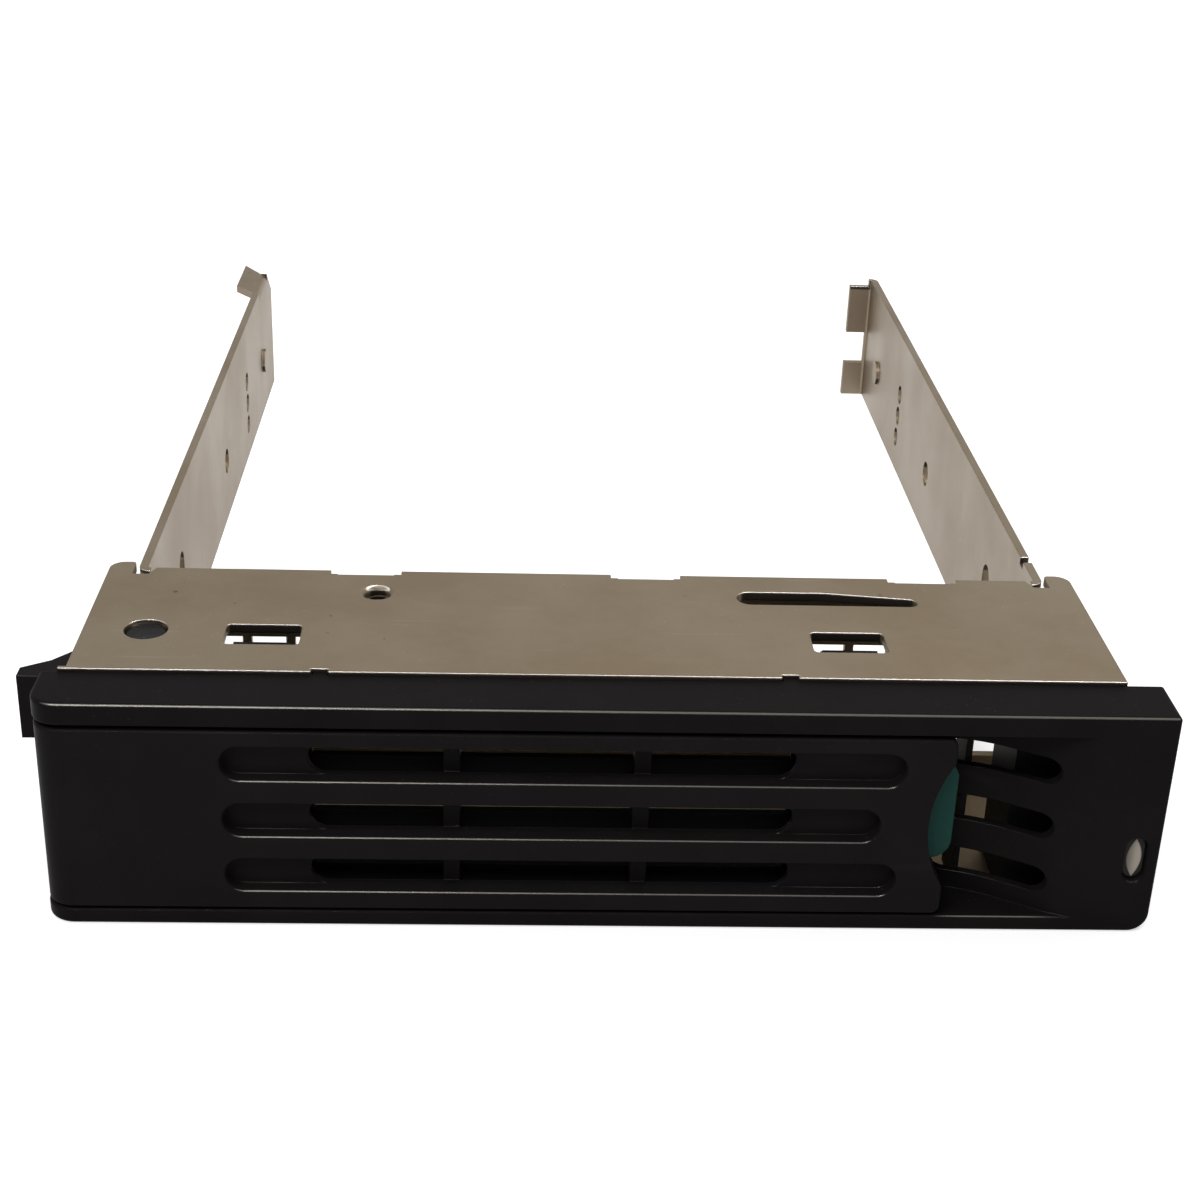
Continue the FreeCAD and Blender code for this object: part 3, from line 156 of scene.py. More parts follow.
def buildEdgeSoftening(settings):
    # Normal is rounded near sharp edges, and Edge marks the rims of openings and thin lips, worn on most
    # parts and darkened as painted shade on the light pipe;
    # Line is where an edge looks forward and up, Rim where it looks back and up or forward and down, and
    # the materials paint highlights along them
    group, given, result = makeGroup(
        "edgeSoftening", [("Radius", 0.0003), ("Wear Reach", 0.0004), ("Wear Breakup", 900.0),
                          ("Shade Reach", 0.0025), ("Line Gain", 1.0)],
        [("Normal", "NodeSocketVector"), ("Edge", "NodeSocketFloat"), ("Line", "NodeSocketFloat"),
         ("Rim", "NodeSocketFloat")])
    samples = settings["samples"]
    soft = place(group, "ShaderNodeBevel", (0, 0), samples=samples)
    join(group, given.outputs["Radius"], soft.inputs["Radius"])
    wide = place(group, "ShaderNodeBevel", (0, 1), samples=samples)
    join(group, given.outputs["Wear Reach"], wide.inputs["Radius"])
    geometry = place(group, "ShaderNodeNewGeometry", (0, 2))
    turn = place(group, "ShaderNodeVectorMath", (1, 1), operation="DOT_PRODUCT")
    join(group, wide.outputs[0], turn.inputs[0])
    join(group, geometry.outputs["True Normal"], turn.inputs[1])
    where = place(group, "ShaderNodeTexCoord", (0, 3))
    ragged = noise(group, (1, 3), where.outputs["Object"], given.outputs["Wear Breakup"],
                   *settings["ragDetail"])
    lift = mathNode(group, "MULTIPLY_ADD", (2, 3), ragged, settings["raggedness"], settings["wornFrom"])
    edge = spread(group, (3, 1), mathNode(group, "ADD", (2, 1), turn.outputs["Value"], lift),
                  *settings["worn"])
    parts = splitVector(group, (1, 0), soft.outputs[0])
    lean = mathNode(group, "MULTIPLY", (2, 0), parts["Y"], parts["Z"])
    band = spread(group, (3, 0), mathNode(group, "MULTIPLY", (2, -1), lean, given.outputs["Line Gain"]),
                  *settings["lineLean"])
    # occlusion about straight up puts the line out in corners and under the lever
    shade = place(group, "ShaderNodeAmbientOcclusion", (2, -2), samples=samples)
    up = place(group, "ShaderNodeCombineXYZ", (1, -2))
    up.inputs["Z"].default_value = 1.0
    join(group, up.outputs[0], shade.inputs["Normal"])
    join(group, given.outputs["Shade Reach"], shade.inputs["Distance"])
    lit = spread(group, (3, -2), shade.outputs["AO"], *settings["lineOpen"])
    join(group, soft.outputs[0], result.inputs["Normal"])
    join(group, edge, result.inputs["Edge"])
    join(group, mathNode(group, "MULTIPLY", (4, 0), band, lit), result.inputs["Line"])
    join(group, spread(group, (3, -3), lean, *settings["rimLean"]), result.inputs["Rim"])
    return group


def buildDust(settings):
    # fine specks, thicker on faces that look up
    group, given, result = makeGroup(
        "settledDust", [("Amount", 0.3), ("Speck Scale", 2600.0), ("Rarity", 0.9)],
        [("Dust", "NodeSocketFloat")])
    where = place(group, "ShaderNodeTexCoord", (-1, 2))
    cells = place(group, "ShaderNodeTexVoronoi", (0, 0))
    join(group, where.outputs["Object"], cells.inputs["Vector"])
    join(group, given.outputs["Speck Scale"], cells.inputs["Scale"])
    draw = place(group, "ShaderNodeSeparateColor", (1, 1))
    join(group, cells.outputs["Color"], draw.inputs[0])
    # most cells draw too low a number to hold a speck
    reach = spread(group, (2, 1), draw.outputs[0], given.outputs["Rarity"], 1.0,
                   newHigh=settings["speckSize"])
    speck = mathNode(group, "LESS_THAN", (3, 0), cells.outputs["Distance"], reach)
    geometry = place(group, "ShaderNodeNewGeometry", (0, 3))
    facing = splitVector(group, (1, 3), geometry.outputs["Normal"])
    upward = spread(group, (2, 3), facing["Z"], *settings["onFaces"])
    cover = noise(group, (1, 4), where.outputs["Object"], settings["patchScale"])
    patches = spread(group, (2, 4), cover, *settings["patches"])
    thickness = mathNode(group, "MULTIPLY", (3, 3), upward, patches)
    amount = mathNode(group, "MULTIPLY", (4, 2), thickness, given.outputs["Amount"])
    join(group, mathNode(group, "MULTIPLY", (5, 1), speck, amount), result.inputs["Dust"])
    return group


def buildRubs(settings):
    # thin straight rubs, broken into short lengths; lie shares each angle out over the three axes
    group, given, result = makeGroup(
        "handlingRubs", [("Amount", 0.5), ("Scale", 260.0)], [("Rub", "NodeSocketFloat")])
    where = place(group, "ShaderNodeTexCoord", (-1, 1))
    every = 0.0
    for step, angle in enumerate(settings["angles"]):
        lay = place(group, "ShaderNodeMapping", (0, step * 2))
        join(group, where.outputs["Object"], lay.inputs["Vector"])
        lay.inputs["Rotation"].default_value = [angle * share for share in settings["lie"]]
        lay.inputs["Scale"].default_value = settings["stretch"]
        streak = noise(group, (1, step * 2), lay.outputs[0], given.outputs["Scale"],
                       settings["streakDetail"])
        line = spread(group, (2, step * 2), streak, *settings["streaks"])
        gapScale = settings["gapScale"] + settings["gapScaleStep"] * step
        gap = noise(group, (1, step * 2 + 1), where.outputs["Object"], gapScale, settings["gapDetail"])
        broken = spread(group, (2, step * 2 + 1), gap, *settings["gaps"])
        rub = mathNode(group, "MULTIPLY", (3, step * 2), line, broken)
        every = mathNode(group, "MAXIMUM", (4 + step, 1), rub, every)
    every = mathNode(group, "MULTIPLY", (7, 1), every, given.outputs["Amount"])
    join(group, every, result.inputs["Rub"])
    return group


def buildMouldGrain(settings):
    # the fine matt grain that a spark-eroded mould leaves on plastic
    group, given, result = makeGroup(
        "mouldGrain", [("Scale", 5200.0), ("Flow Scale", 120.0)],
        [("Height", "NodeSocketFloat"), ("Flow", "NodeSocketFloat")])
    where = place(group, "ShaderNodeTexCoord", (-1, 0))
    fine = noise(group, (0, 0), where.outputs["Object"], given.outputs["Scale"],
                 *settings["grainDetail"])
    flow = noise(group, (0, 2), where.outputs["Object"], given.outputs["Flow Scale"],
                 *settings["flowDetail"])
    join(group, fine, result.inputs["Height"])
    join(group, spread(group, (2, 2), flow, *settings["flow"]), result.inputs["Flow"])
    return group


edgeSoftening = buildEdgeSoftening(edgeSettings)
settledDust = buildDust(dustSettings)
handlingRubs = buildRubs(rubSettings)
mouldGrain = buildMouldGrain(grainSettings)
print("shader groups built")


# parts that every material shares

def useGroup(tree, group, spot, **values):
    node = place(tree, "ShaderNodeGroup", spot, node_tree=group)
    for key, value in values.items():
        node.inputs[key.replace("_", " ")].default_value = value
    return node


def startMaterial(name, settings):
    material = bpy.data.materials.new(name)
    material.use_nodes = True
    tree = material.node_tree
    shader = tree.nodes["Principled BSDF"]
    shader.location = (nodeStep[0] * 10, 0)
    shader.inputs["Specular IOR Level"].default_value = settings["specular"]
    material.diffuse_color = (*settings["colour"], 1.0)
    return material, tree, shader


def raiseGrain(tree, spot, shader, height, normal, depth):
    # fine relief over the rounded edges
    bump = place(tree, "ShaderNodeBump", spot)
    bump.inputs["Distance"].default_value = depth
    join(tree, height, bump.inputs["Height"])
    join(tree, normal, bump.inputs["Normal"])
    join(tree, bump.outputs[0], shader.inputs["Normal"])


# moulded plastic

blackPlasticSettings = {
    "colour": (0.0088, 0.0076, 0.0077), "flowColour": (0.0108, 0.0094, 0.0093),
    "wornEdgeAndShadeColour": (0.05, 0.048, 0.046), "dustColour": (0.2, 0.195, 0.185),
    "paintedLineColour": (0.16, 0.15, 0.136),
    "roughness": (0.36, 0.46), "edgeRoughness": 0.2, "dustRoughness": 0.9, "specular": 0.014,
    "edgeShine": 0.55, "edgeWear": 0.6, "grainDepth": 0.000006, "edgeRadius": 0.00018,
    "wearReach": 0.00042, "dust": 0.1, "rubs": 0.05}
leverPlasticSettings = {
    **blackPlasticSettings, "colour": (0.0108, 0.0094, 0.0097), "flowColour": (0.0128, 0.0112, 0.0113)}
greenPlasticSettings = {
    **blackPlasticSettings,
    "colour": (0.012, 0.052, 0.043), "flowColour": (0.015, 0.061, 0.05),
    "wornEdgeAndShadeColour": (0.04, 0.12, 0.1), "dustColour": (0.3, 0.31, 0.29), "paintedLineColour": (0.05, 0.14, 0.12),
    "roughness": (0.34, 0.44), "edgeRoughness": 0.24, "specular": 0.05, "edgeShine": 0.45,
    "grainDepth": 0.000004, "edgeRadius": 0.00025, "wearReach": 0.0004, "dust": 0.15, "rubs": 0.15}
# the light pipe's very dark edge colour is painted shade on the rim of its face, where it sits in its
# passage
lensSettings = {
    **blackPlasticSettings,
    "colour": (0.36, 0.32, 0.27), "flowColour": (0.43, 0.38, 0.32),
    "wornEdgeAndShadeColour": (0.02, 0.018, 0.016), "dustColour": (0.4, 0.38, 0.35), "paintedLineColour": (0.3, 0.27, 0.23),
    "roughness": (0.16, 0.26), "edgeRoughness": 0.3, "specular": 0.1, "edgeShine": 0.0,
    "grainDepth": 0.000001, "edgeRadius": 0.0003, "wearReach": 0.0003, "rubs": 0.02}


def mouldedPlastic(name, settings):
    material, tree, shader = startMaterial(name, settings)
    grain = useGroup(tree, mouldGrain, (0, 0))
    edge = useGroup(tree, edgeSoftening, (0, 2), Radius=settings["edgeRadius"],
                    Wear_Reach=settings["wearReach"])
    dust = useGroup(tree, settledDust, (0, 4), Amount=settings["dust"])
    rub = useGroup(tree, handlingRubs, (0, 5), Amount=settings["rubs"])
    wornEdge = mathNode(tree, "MULTIPLY", (1, 3), edge.outputs["Edge"], settings["edgeWear"])
    worn = mathNode(tree, "MAXIMUM", (2, 3), wornEdge, rub.outputs["Rub"])
    lit = mathNode(tree, "MAXIMUM", (2, 4), worn, edge.outputs["Line"])
    colour = blendColour(tree, (2, 0), grain.outputs["Flow"], settings["colour"], settings["flowColour"])
    # worn edges and rubs take the edge colour, which on the light pipe is painted shade
    colour = blendColour(tree, (3, 1), worn, colour, settings["wornEdgeAndShadeColour"])
    # painted highlight: edges that look forward and up in the open take the lighter line colour
    colour = blendColour(tree, (3, 4), edge.outputs["Line"], colour, settings["paintedLineColour"])
    colour = blendColour(tree, (4, 1), dust.outputs["Dust"], colour, settings["dustColour"])
    join(tree, colour, shader.inputs["Base Color"])
    rough = blendValue(tree, (2, 1), grain.outputs["Flow"], *settings["roughness"])
    rough = blendValue(tree, (3, 2), lit, rough, settings["edgeRoughness"])
    rough = blendValue(tree, (4, 2), dust.outputs["Dust"], rough, settings["dustRoughness"])
    join(tree, rough, shader.inputs["Roughness"])
    if settings["edgeShine"]:
        # edges shine through Metallic, because the export loses a linked specular level
        shine = mathNode(tree, "MULTIPLY", (4, 3), lit, settings["edgeShine"])
        join(tree, shine, shader.inputs["Metallic"])
    raiseGrain(tree, (5, 3), shader, grain.outputs["Height"], edge.outputs["Normal"],
               settings["grainDepth"])
    return material


# light pipe

pipeSettings = {"halfWide": 0.8 * mm, "halfTall": 2.35 * mm, "shade": (0.012, 0.011, 0.01),
                "rim": (1.06, 0.84), "dimSide": (-0.9, 0.5, 0.45, 1.0)}


def lightPipe(settings):
    # only a pointed oval of the pipe's face is lit, the rest lies in its passage's shade
    material = mouldedPlastic("lensPlastic", lensSettings)
    tree = material.node_tree
    shader = tree.nodes["Principled BSDF"]
    low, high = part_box("light_pipe")
    where = place(tree, "ShaderNodeTexCoord", (5, 5))
    about = place(tree, "ShaderNodeMapping", (6, 5), vector_type="TEXTURE")
    about.inputs["Location"].default_value = (low + high) / 2
    about.inputs["Scale"].default_value = (settings["halfWide"], 1.0, settings["halfTall"])
    join(tree, where.outputs["Object"], about.inputs["Vector"])
    parts = splitVector(tree, (7, 5), about.outputs[0])
    reach = mathNode(tree, "ADD", (8, 5), mathNode(tree, "ABSOLUTE", (7, 6), parts["X"]),
                     mathNode(tree, "MULTIPLY", (7, 7), parts["Z"], parts["Z"]))
    oval = spread(tree, (9, 5), reach, *settings["rim"])
    side = spread(tree, (9, 6), parts["X"], *settings["dimSide"])
    body = shader.inputs["Base Color"].links[0].from_socket
    lit = mathNode(tree, "MULTIPLY", (10, 5), oval, side)
    shown = blendColour(tree, (9, 2), lit, settings["shade"], body)
    join(tree, shown, shader.inputs["Base Color"])
    return material


# plated steel sheet, and the steel of the pin, the clip and the springs

sheetSettings = {
    "colour": (0.184, 0.141, 0.089), "clearColour": (0.226, 0.178, 0.12), "cloudScale": 38.0,
    "cloudDetail": (5.0, 0.6), "clouds": (0.32, 0.68), "stainColour": (0.125, 0.095, 0.06),
    "stainScale": 16.0, "stainDetail": (4.0, 0.55), "stains": (0.52, 0.74), "stainDepth": 0.7,
    "railGlareColour": (0.285, 0.232, 0.178), "railTurn": (0.5, 0.9), "railShare": 0.75,
    "cutColour": (0.62, 0.58, 0.52), "dustColour": (0.6, 0.58, 0.55), "metallic": 1.0, "specular": 0.5,
    "roughness": (0.4, 0.52), "cutRoughness": 0.3, "brightRoughness": 0.15, "grainScale": 3400.0,
    "grainDetail": (3.0, 0.65), "grainDepth": 0.0000035, "dust": 0.1, "dustScale": 2200.0,
    "rubs": 0.05, "rubScale": 700.0,
    "pits": 0.9, "pitScale": 1300.0, "pitRarity": 0.985, "pitColour": (0.05, 0.04, 0.03),
    "edgeRadius": 0.0003, "wearReach": 0.0003, "lineGain": 1.5, "line": 1.0, "rim": 0.0,
    "bend": 1.0, "bendTilt": (0.1, 0.3), "bendDarkReflectionColour": (0.045, 0.036, 0.028),
    "wallShadeAmount": 1.0, "wallTurn": (-0.7, -0.9), "wallShadeColour": (0.06, 0.05, 0.042),
    "sharpTilt": (-0.46, -0.3), "paintedHighlightColour": (0.98, 0.95, 0.9)}
darkSteelSettings = {
    **sheetSettings,
    "colour": (0.022, 0.021, 0.021), "clearColour": (0.03, 0.029, 0.028),
    "stainColour": (0.015, 0.014, 0.014), "cutColour": (0.08, 0.078, 0.075),
    "railGlareColour": (0.03, 0.029, 0.028), "paintedHighlightColour": (0.9, 0.89, 0.87), "metallic": 0.0,
    "specular": 0.03, "roughness": (0.3, 0.42), "cloudScale": 400.0, "stainScale": 160.0,
    "grainScale": 5200.0, "grainDepth": 0.000003, "rubs": 0.1,
    "bend": 0.0, "wallShadeAmount": 0.0, "pits": 0.0, "rim": 1.0, "line": 0.3}
springSteelSettings = {
    **sheetSettings,
    "colour": (0.36, 0.35, 0.34), "clearColour": (0.45, 0.44, 0.43), "stainColour": (0.25, 0.24, 0.22),
    "cutColour": (0.6, 0.59, 0.57), "railGlareColour": (0.4, 0.39, 0.38), "roughness": (0.25, 0.36),
    "cutRoughness": 0.25, "cloudScale": 500.0, "stainScale": 200.0, "grainScale": 6000.0,
    "grainDepth": 0.000002, "rubs": 0.4, "edgeRadius": 0.0001, "wearReach": 0.0002,
    "bend": 0.0, "wallShadeAmount": 0.0, "pits": 0.0, "rim": 0.0, "line": 0.0}
lipZone = 34.5 * mm  # the rails' rear stretch, which holds the lips
sheetPlaces = {  # where the plates and the lips lie, and how soft a mask's border is
    "plateTop": mounts["burr_tapped"]["pos_m"][2],
    "thick": mounts["drive_screw_left"]["dims"]["length_mm"] * mm,
    "lipsFrom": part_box("carrier_frame")[1].y - lipZone,
    "soft": 0.1 * mm}


def steelColour(tree, settings, where, cloud, turned, position):
    # clouds and stains, and painted glare that makes the rails' upright faces and their rear lips paler
    stain = noise(tree, (0, 1), where, settings["stainScale"], *settings["stainDetail"])
    stain = spread(tree, (1, 1), stain, *settings["stains"])
    atBack = mathNode(tree, "GREATER_THAN", (-1, 8), position["Y"], sheetPlaces["lipsFrom"])
    sideways, lengthways = (mathNode(tree, "ABSOLUTE", (-3, 7), turned[axis]) for axis in "XY")
    lips = mathNode(tree, "MULTIPLY", (-2, 8), atBack, lengthways)
    sideOn = mathNode(tree, "MAXIMUM", (-1, 7), sideways, lips)
    upright = spread(tree, (0, 7), sideOn, *settings["railTurn"])
    colour = blendColour(tree, (2, 0), cloud, settings["colour"], settings["clearColour"])
    stained = mathNode(tree, "MULTIPLY", (2, 1), stain, settings["stainDepth"])
    colour = blendColour(tree, (3, 0), stained, colour, settings["stainColour"])
    # painted glare: upright faces take the paler rail colour
    rails = mathNode(tree, "MULTIPLY", (2, 7), upright, settings["railShare"])
    return blendColour(tree, (4, 0), rails, colour, settings["railGlareColour"])


def paintedShadeAndHighlightMasks(tree, settings, edge, turned, position):
    # painted dark reflection on bends that roll down at the back, painted shade on walls that look
    # forward, and a painted highlight on edges
    tilt = mathNode(tree, "MULTIPLY", (0, 8), turned["Y"], turned["Z"])
    # painted dark reflection: faces of the bends that look back and up are darker
    bend = spread(tree, (1, 8), tilt, *settings["bendTilt"], 0.0, settings["bend"])
    middle = sheetPlaces["plateTop"] / 2
    within = middle - sheetPlaces["thick"]
    level = mathNode(tree, "ABSOLUTE", (1, 9), mathNode(
        tree, "SUBTRACT", (0, 9), position["Z"], middle))
    # painted shade: faces within the plates' thickness that look forward, like the walls of holes, are
    # darker
    forward = spread(tree, (1, 10), turned["Y"], *settings["wallTurn"], 0.0, settings["wallShadeAmount"])
    wall = mathNode(tree, "MULTIPLY", (2, 9), forward, spread(
        tree, (2, 10), level, within, within + sheetPlaces["soft"]))
    # the painted highlight runs on sharp edges of the plates only, not on rolled rims or the rails'
    # holes
    onPlates = spread(tree, (0, 12), level, within - sheetPlaces["soft"], within, 0.0, settings["line"])
    sharp = mathNode(tree, "MULTIPLY", (1, 11), onPlates, spread(
        tree, (0, 11), tilt, *settings["sharpTilt"]))
    line = mathNode(tree, "MULTIPLY", (2, 11), edge.outputs["Line"], sharp)
    rim = mathNode(tree, "MULTIPLY", (2, 8), edge.outputs["Rim"], settings["rim"])
    return bend, wall, mathNode(tree, "MAXIMUM", (3, 9), line, rim)


def platedSteel(name, settings):
    material, tree, shader = startMaterial(name, settings)
    where = place(tree, "ShaderNodeTexCoord", (-2, 1)).outputs["Object"]
    edge = useGroup(tree, edgeSoftening, (0, 3), Radius=settings["edgeRadius"],
                    Wear_Reach=settings["wearReach"], Line_Gain=settings["lineGain"])
    dust = useGroup(tree, settledDust, (0, 5), Amount=settings["dust"],
                    Speck_Scale=settings["dustScale"])
    pits = useGroup(tree, settledDust, (5, 5), Amount=settings["pits"], Speck_Scale=settings["pitScale"],
                    Rarity=settings["pitRarity"])
    rub = useGroup(tree, handlingRubs, (0, 6), Amount=settings["rubs"], Scale=settings["rubScale"])
    facing = place(tree, "ShaderNodeNewGeometry", (-2, 3))
    turned = splitVector(tree, (-1, 3), facing.outputs["Normal"])
    position = splitVector(tree, (-1, 9), where)
    cloud = noise(tree, (0, 0), where, settings["cloudScale"], *settings["cloudDetail"])
    cloud = spread(tree, (1, 0), cloud, *settings["clouds"])
    worn = mathNode(tree, "MAXIMUM", (3, 3), edge.outputs["Edge"], rub.outputs["Rub"])
    bend, wall, bright = paintedShadeAndHighlightMasks(tree, settings, edge, turned, position)
    colour = steelColour(tree, settings, where, cloud, turned, position)
    # wear, dust and pits are marks the steel has; bend, wall and bright paint dark reflection, shade and
    # highlight
    layers = ((worn, "cutColour"), (dust.outputs["Dust"], "dustColour"),
              (pits.outputs["Dust"], "pitColour"), (bend, "bendDarkReflectionColour"), (wall, "wallShadeColour"),
              (bright, "paintedHighlightColour"))
    for step, (mask, layer) in enumerate(layers):
        colour = blendColour(tree, (5 + step, 0), mask, colour, settings[layer])
    join(tree, colour, shader.inputs["Base Color"])
    shader.inputs["Metallic"].default_value = settings["metallic"]
    if settings["metallic"] < 1.0:
        # only the painted highlight on the rims of the dark parts shines as metal
        metal = blendValue(tree, (8, 2), bright, settings["metallic"], 1.0)
        join(tree, metal, shader.inputs["Metallic"])
    low, high = settings["roughness"]
    rough = blendValue(tree, (3, 2), cloud, high, low)
    rough = blendValue(tree, (4, 2), worn, rough, settings["cutRoughness"])
    rough = blendValue(tree, (9, 2), bright, rough, settings["brightRoughness"])
    join(tree, rough, shader.inputs["Roughness"])
    fine = noise(tree, (0, 2), where, settings["grainScale"], *settings["grainDetail"])
    raiseGrain(tree, (6, 3), shader, fine, edge.outputs["Normal"], settings["grainDepth"])
    return material


blackPlastic = mouldedPlastic("blackPlastic", blackPlasticSettings)
leverPlastic = mouldedPlastic("leverPlastic", leverPlasticSettings)
greenPlastic = mouldedPlastic("greenPlastic", greenPlasticSettings)
lensPlastic = lightPipe(pipeSettings)
steelSheet = platedSteel("platedSteel", sheetSettings)
darkSteel = platedSteel("darkSteel", darkSteelSettings)
springSteel = platedSteel("springSteel", springSteelSettings)

finishes = {
    "carrier_frame": steelSheet, "bezel": blackPlastic, "lever": leverPlastic,
    "pivot_pin": darkSteel, "pin_clip": springSteel, "latch": greenPlastic,
    "latch_spring": springSteel, "light_pipe": lensPlastic}
for name, finish in finishes.items():
    slots = nodes[name].data.materials
    slots.clear()
    slots.append(finish)
print("materials assigned")


# wound pieces: the tapped hole's thread and the latch's coil

threadSettings = {"below": 1.33 * mm, "radius": 1.45 * mm, "rise": 1.08 * mm, "turns": 2.4,
                  "wire": 0.13 * mm, "sides": 3, "steps": 36}
coilSettings = {"wire": 0.175 * mm, "turns": 5.0, "sides": 12, "steps": 36, "clear": 0.1 * mm,
                "beyond": 0.15}


def woundTree():
    # a wire of round or angled section wound about the Z axis
    tree = bpy.data.node_groups.new("woundWire", "GeometryNodeTree")
    tree.interface.new_socket("Geometry", in_out="OUTPUT", socket_type="NodeSocketGeometry")
    kinds = {"Radius": "Float", "Rise": "Float", "Turns": "Float", "Wire": "Float", "Sides": "Int",
             "Steps": "Int", "Finish": "Material"}
    for label, kind in kinds.items():
        tree.interface.new_socket(label, in_out="INPUT", socket_type="NodeSocket" + kind)
    given = place(tree, "NodeGroupInput", (-2, 0))
    result = place(tree, "NodeGroupOutput", (4, 0))
    coil = place(tree, "GeometryNodeCurveSpiral", (0, 0))
    for name, label in (("Resolution", "Steps"), ("Rotations", "Turns"), ("Start Radius", "Radius"),
                        ("End Radius", "Radius"), ("Height", "Rise")):
        join(tree, given.outputs[label], coil.inputs[name])
    section = place(tree, "GeometryNodeCurvePrimitiveCircle", (0, 2))
    join(tree, given.outputs["Sides"], section.inputs["Resolution"])
    join(tree, given.outputs["Wire"], section.inputs["Radius"])
    sweep = place(tree, "GeometryNodeCurveToMesh", (1, 0))
    join(tree, coil.outputs[0], sweep.inputs["Curve"])
    join(tree, section.outputs[0], sweep.inputs["Profile Curve"])
    sweep.inputs["Fill Caps"].default_value = True
    real = place(tree, "GeometryNodeRealizeInstances", (2, 0))
    join(tree, sweep.outputs[0], real.inputs[0])
    paint = place(tree, "GeometryNodeSetMaterial", (3, 0))
    join(tree, given.outputs["Finish"], paint.inputs["Material"])
    join(tree, real.outputs[0], paint.inputs[0])
    join(tree, paint.outputs[0], result.inputs[0])
    return tree


def windWire(name, tree, lie, **inputs):
    # the tree's mesh with these inputs, laid in place by the matrix lie, with its faces outward
    holder = bpy.data.objects.new("holder", bpy.data.meshes.new("holder"))
    bpy.context.scene.collection.objects.link(holder)
    modifier = holder.modifiers.new("wound", "NODES")
    modifier.node_group = tree
    sockets = {item.name: item.identifier for item in tree.interface.items_tree
               if item.in_out == "INPUT"}
    for label, value in inputs.items():
        modifier[sockets[label.capitalize()]] = value
    mesh = bpy.data.meshes.new_from_object(holder.evaluated_get(bpy.context.evaluated_depsgraph_get()))
    bpy.data.objects.remove(holder)
    mesh.transform(lie)
    edit = bmesh.new()
    edit.from_mesh(mesh)
    bmesh.ops.recalc_face_normals(edit, faces=edit.faces)
    edit.to_mesh(mesh)
    edit.free()
    mesh.name = name
    piece = bpy.data.objects.new(name, mesh)
    bpy.context.scene.collection.objects.link(piece)
    return piece


def buildThread(tree, settings):
    foot = Vector(mounts["burr_tapped"]["pos_m"]) - Vector((0, 0, settings["below"]))
    sizes = {key: settings[key] for key in ("radius", "rise", "turns", "wire", "sides", "steps")}
    thread = windWire("screwThread", tree, Matrix.Translation(foot), finish=steelSheet, **sizes)
    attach(thread, "caddy")
    print("thread built:", len(thread.data.polygons), "faces")


def buildCoil(tree, settings):
    # it stands for the CAD coil, because it shortens between the lever and the latch
    low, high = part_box("latch_spring")
    middle = (low + high) / 2
    start = Vector((low.x, middle.y, middle.z))
    inset = settings["wire"] + settings["clear"]
    lie = Matrix.Translation(start + Vector((inset, 0, 0))) @ Matrix.Rotation(math.pi / 2, 4, "Y")
    sizes = {key: settings[key] for key in ("turns", "wire", "sides", "steps")}
    radius = (high.z - low.z) / 2 - settings["wire"]
    coil = windWire("latchCoil", tree, lie, finish=springSteel, radius=radius,
                    rise=high.x - low.x - 2 * inset, **sizes)
    for face in coil.data.polygons:
        face.use_smooth = True
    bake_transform(coil)
    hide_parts("latch_spring")
    print("coil built:", len(coil.data.polygons), "faces")


woundWire = woundTree()
buildThread(woundWire, threadSettings)
buildCoil(woundWire, coilSettings)


# studio: a paper sweep, two lamp panels and an even sky

paperSettings = {
    "colour": (0.82, 0.82, 0.82), "roughness": 0.9, "specular": 0.1, "glow": 0.55, "size": 3.0,
    "rise": 1.6, "away": 1.3, "bend": 0.35, "bendSteps": 16}
lampSettings = [
    {"name": "keyPanel", "at": (-0.25, -0.4, 0.7), "size": (0.5, 0.25), "power": 3.2},
    {"name": "topPanel", "at": (0.25, 0.25, 0.8), "size": (0.6, 0.3), "power": 2.4}]
skySettings = {"fill": 0.3, "shown": 1.0}


def seenRays(tree):
    # 1 for the rays by which the eye, mirrors and glass see the background
    rays = place(tree, "ShaderNodeLightPath", (-4, 0))
    seen = mathNode(tree, "MAXIMUM", (-3, 0), rays.outputs["Is Camera Ray"],
                    rays.outputs["Is Glossy Ray"])
    return mathNode(tree, "MAXIMUM", (-2, 0), seen, rays.outputs["Is Transmission Ray"])


def paperMaterial(settings):
    # pale paper that is seen as white, with its soft shadows kept
    material, tree, shader = startMaterial("studioPaper", settings)
    feed(tree, settings["colour"], shader.inputs["Base Color"])
    shader.inputs["Roughness"].default_value = settings["roughness"]
    shader.inputs["Emission Color"].default_value = (1.0, 1.0, 1.0, 1.0)
    glow = mathNode(tree, "MULTIPLY", (-1, 0), seenRays(tree), settings["glow"])
    join(tree, glow, shader.inputs["Emission Strength"])
    return material


def buildPaper(settings):
    half, bend, away = settings["size"] / 2, settings["bend"], settings["away"]
    profile = [(-half, 0.0)]
    for step in range(settings["bendSteps"] + 1):
        angle = step / settings["bendSteps"] * math.pi / 2
        profile.append((away - bend + bend * math.sin(angle), bend - bend * math.cos(angle)))
    profile.append((away, settings["rise"]))
    points = [(x, y, z) for y, z in profile for x in (-half, half)]
    faces = [(2 * i, 2 * i + 1, 2 * i + 3, 2 * i + 2) for i in range(len(profile) - 1)]
    mesh = bpy.data.meshes.new("paperSweep")
    mesh.from_pydata(points, [], faces)
    for face in mesh.polygons:
        face.use_smooth = True
    mesh.materials.append(paperMaterial(settings))
    paper = bpy.data.objects.new("paperSweep", mesh)
    bpy.context.scene.collection.objects.link(paper)


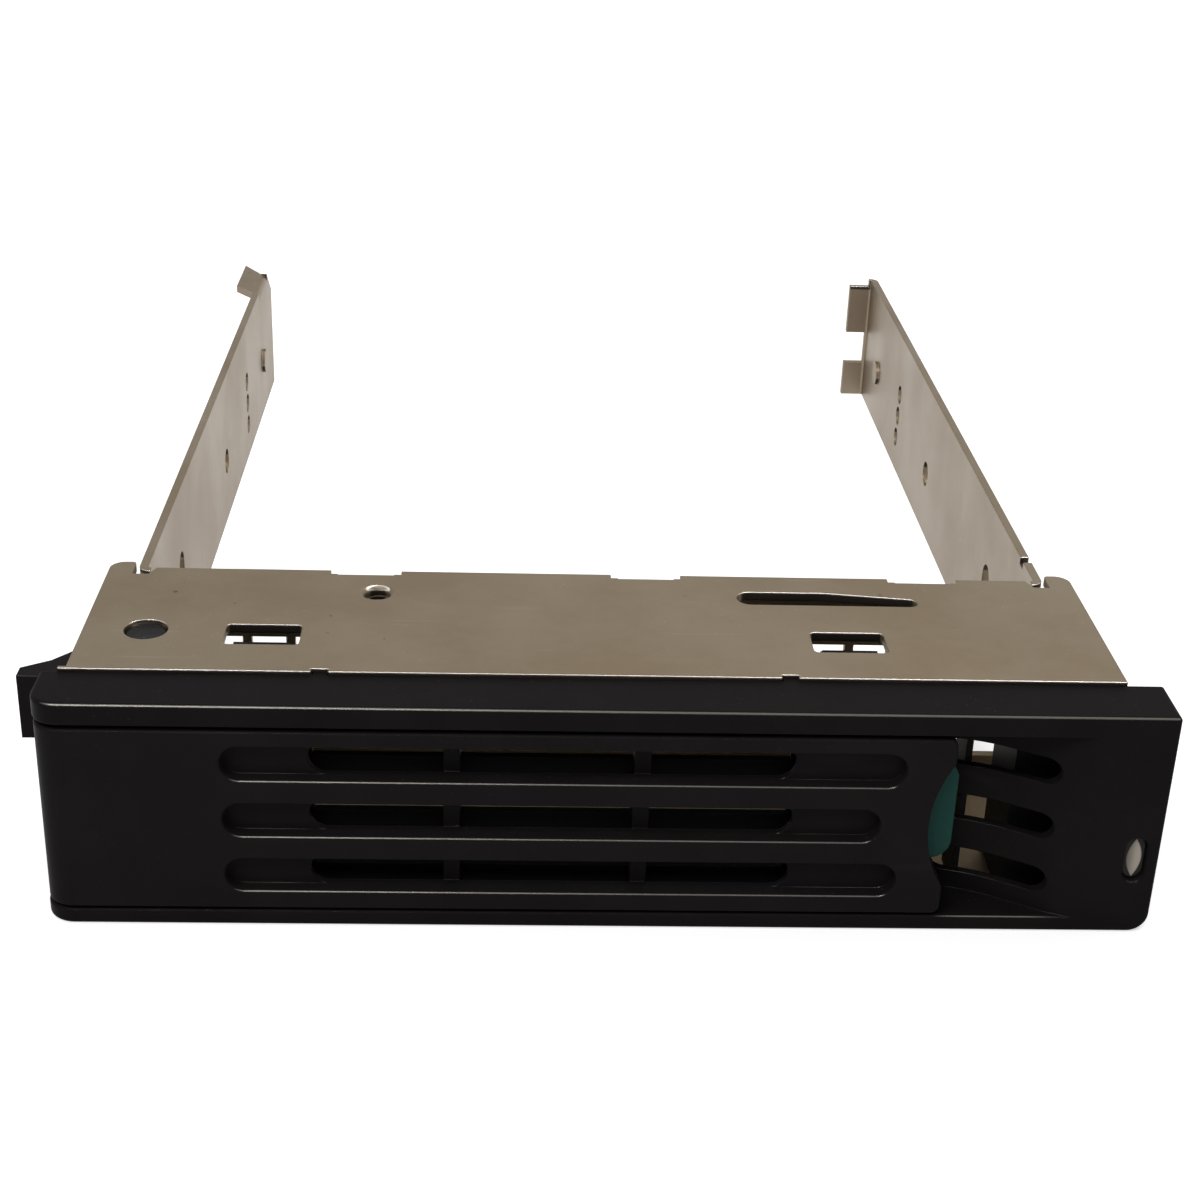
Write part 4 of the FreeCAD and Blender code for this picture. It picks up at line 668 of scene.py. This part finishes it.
def buildLamp(settings):
    # a panel that looks at the middle of the frame
    data = bpy.data.lights.new(settings["name"], "AREA")
    data.shape = "RECTANGLE"
    data.size, data.size_y = settings["size"]
    data.energy = settings["power"]
    panel = bpy.data.objects.new(settings["name"], data)
    panel.location = settings["at"]
    panel.rotation_euler = (-Vector(settings["at"])).to_track_quat("-Z", "Y").to_euler()
    bpy.context.scene.collection.objects.link(panel)


def buildSky(settings):
    world = bpy.data.worlds.new("studioAir")
    world.use_nodes = True
    tree = world.node_tree
    sky = tree.nodes["Background"]
    sky.inputs["Color"].default_value = (1.0, 1.0, 1.0, 1.0)
    join(tree, blendValue(tree, (-1, 0), seenRays(tree), settings["fill"], settings["shown"]),
         sky.inputs["Strength"])
    bpy.context.scene.world = world


buildPaper(paperSettings)
for lamp in lampSettings:
    buildLamp(lamp)
buildSky(skySettings)
bpy.context.scene.view_settings.view_transform = "Standard"
print("studio built")


# camera

cameraSettings = {
    "lens": 60.47, "sensor": 36.0, "clip": (0.01, 20.0), "at": (-9.73 * mm, -197.9 * mm, 123.91 * mm),
    "yaw": 2.83, "down": 25.517, "roll": 2.098}


def buildCamera(settings):
    yaw, down, roll = (math.radians(settings[key]) for key in ("yaw", "down", "roll"))
    forward = Vector((math.sin(yaw) * math.cos(down), math.cos(yaw) * math.cos(down), -math.sin(down)))
    right = Vector((math.cos(yaw), -math.sin(yaw), 0.0))
    up = right.cross(forward)
    rightTurned = right * math.cos(roll) + up * math.sin(roll)
    upTurned = up * math.cos(roll) - right * math.sin(roll)
    data = bpy.data.cameras.new("studioCamera")
    data.lens = settings["lens"]
    data.sensor_width = settings["sensor"]
    data.clip_start, data.clip_end = settings["clip"]
    camera = bpy.data.objects.new("studioCamera", data)
    facing = Matrix((rightTurned, upTurned, -forward)).transposed().to_4x4()
    camera.matrix_world = Matrix.Translation(settings["at"]) @ facing
    bpy.context.scene.collection.objects.link(camera)
    bpy.context.scene.camera = camera


buildCamera(cameraSettings)
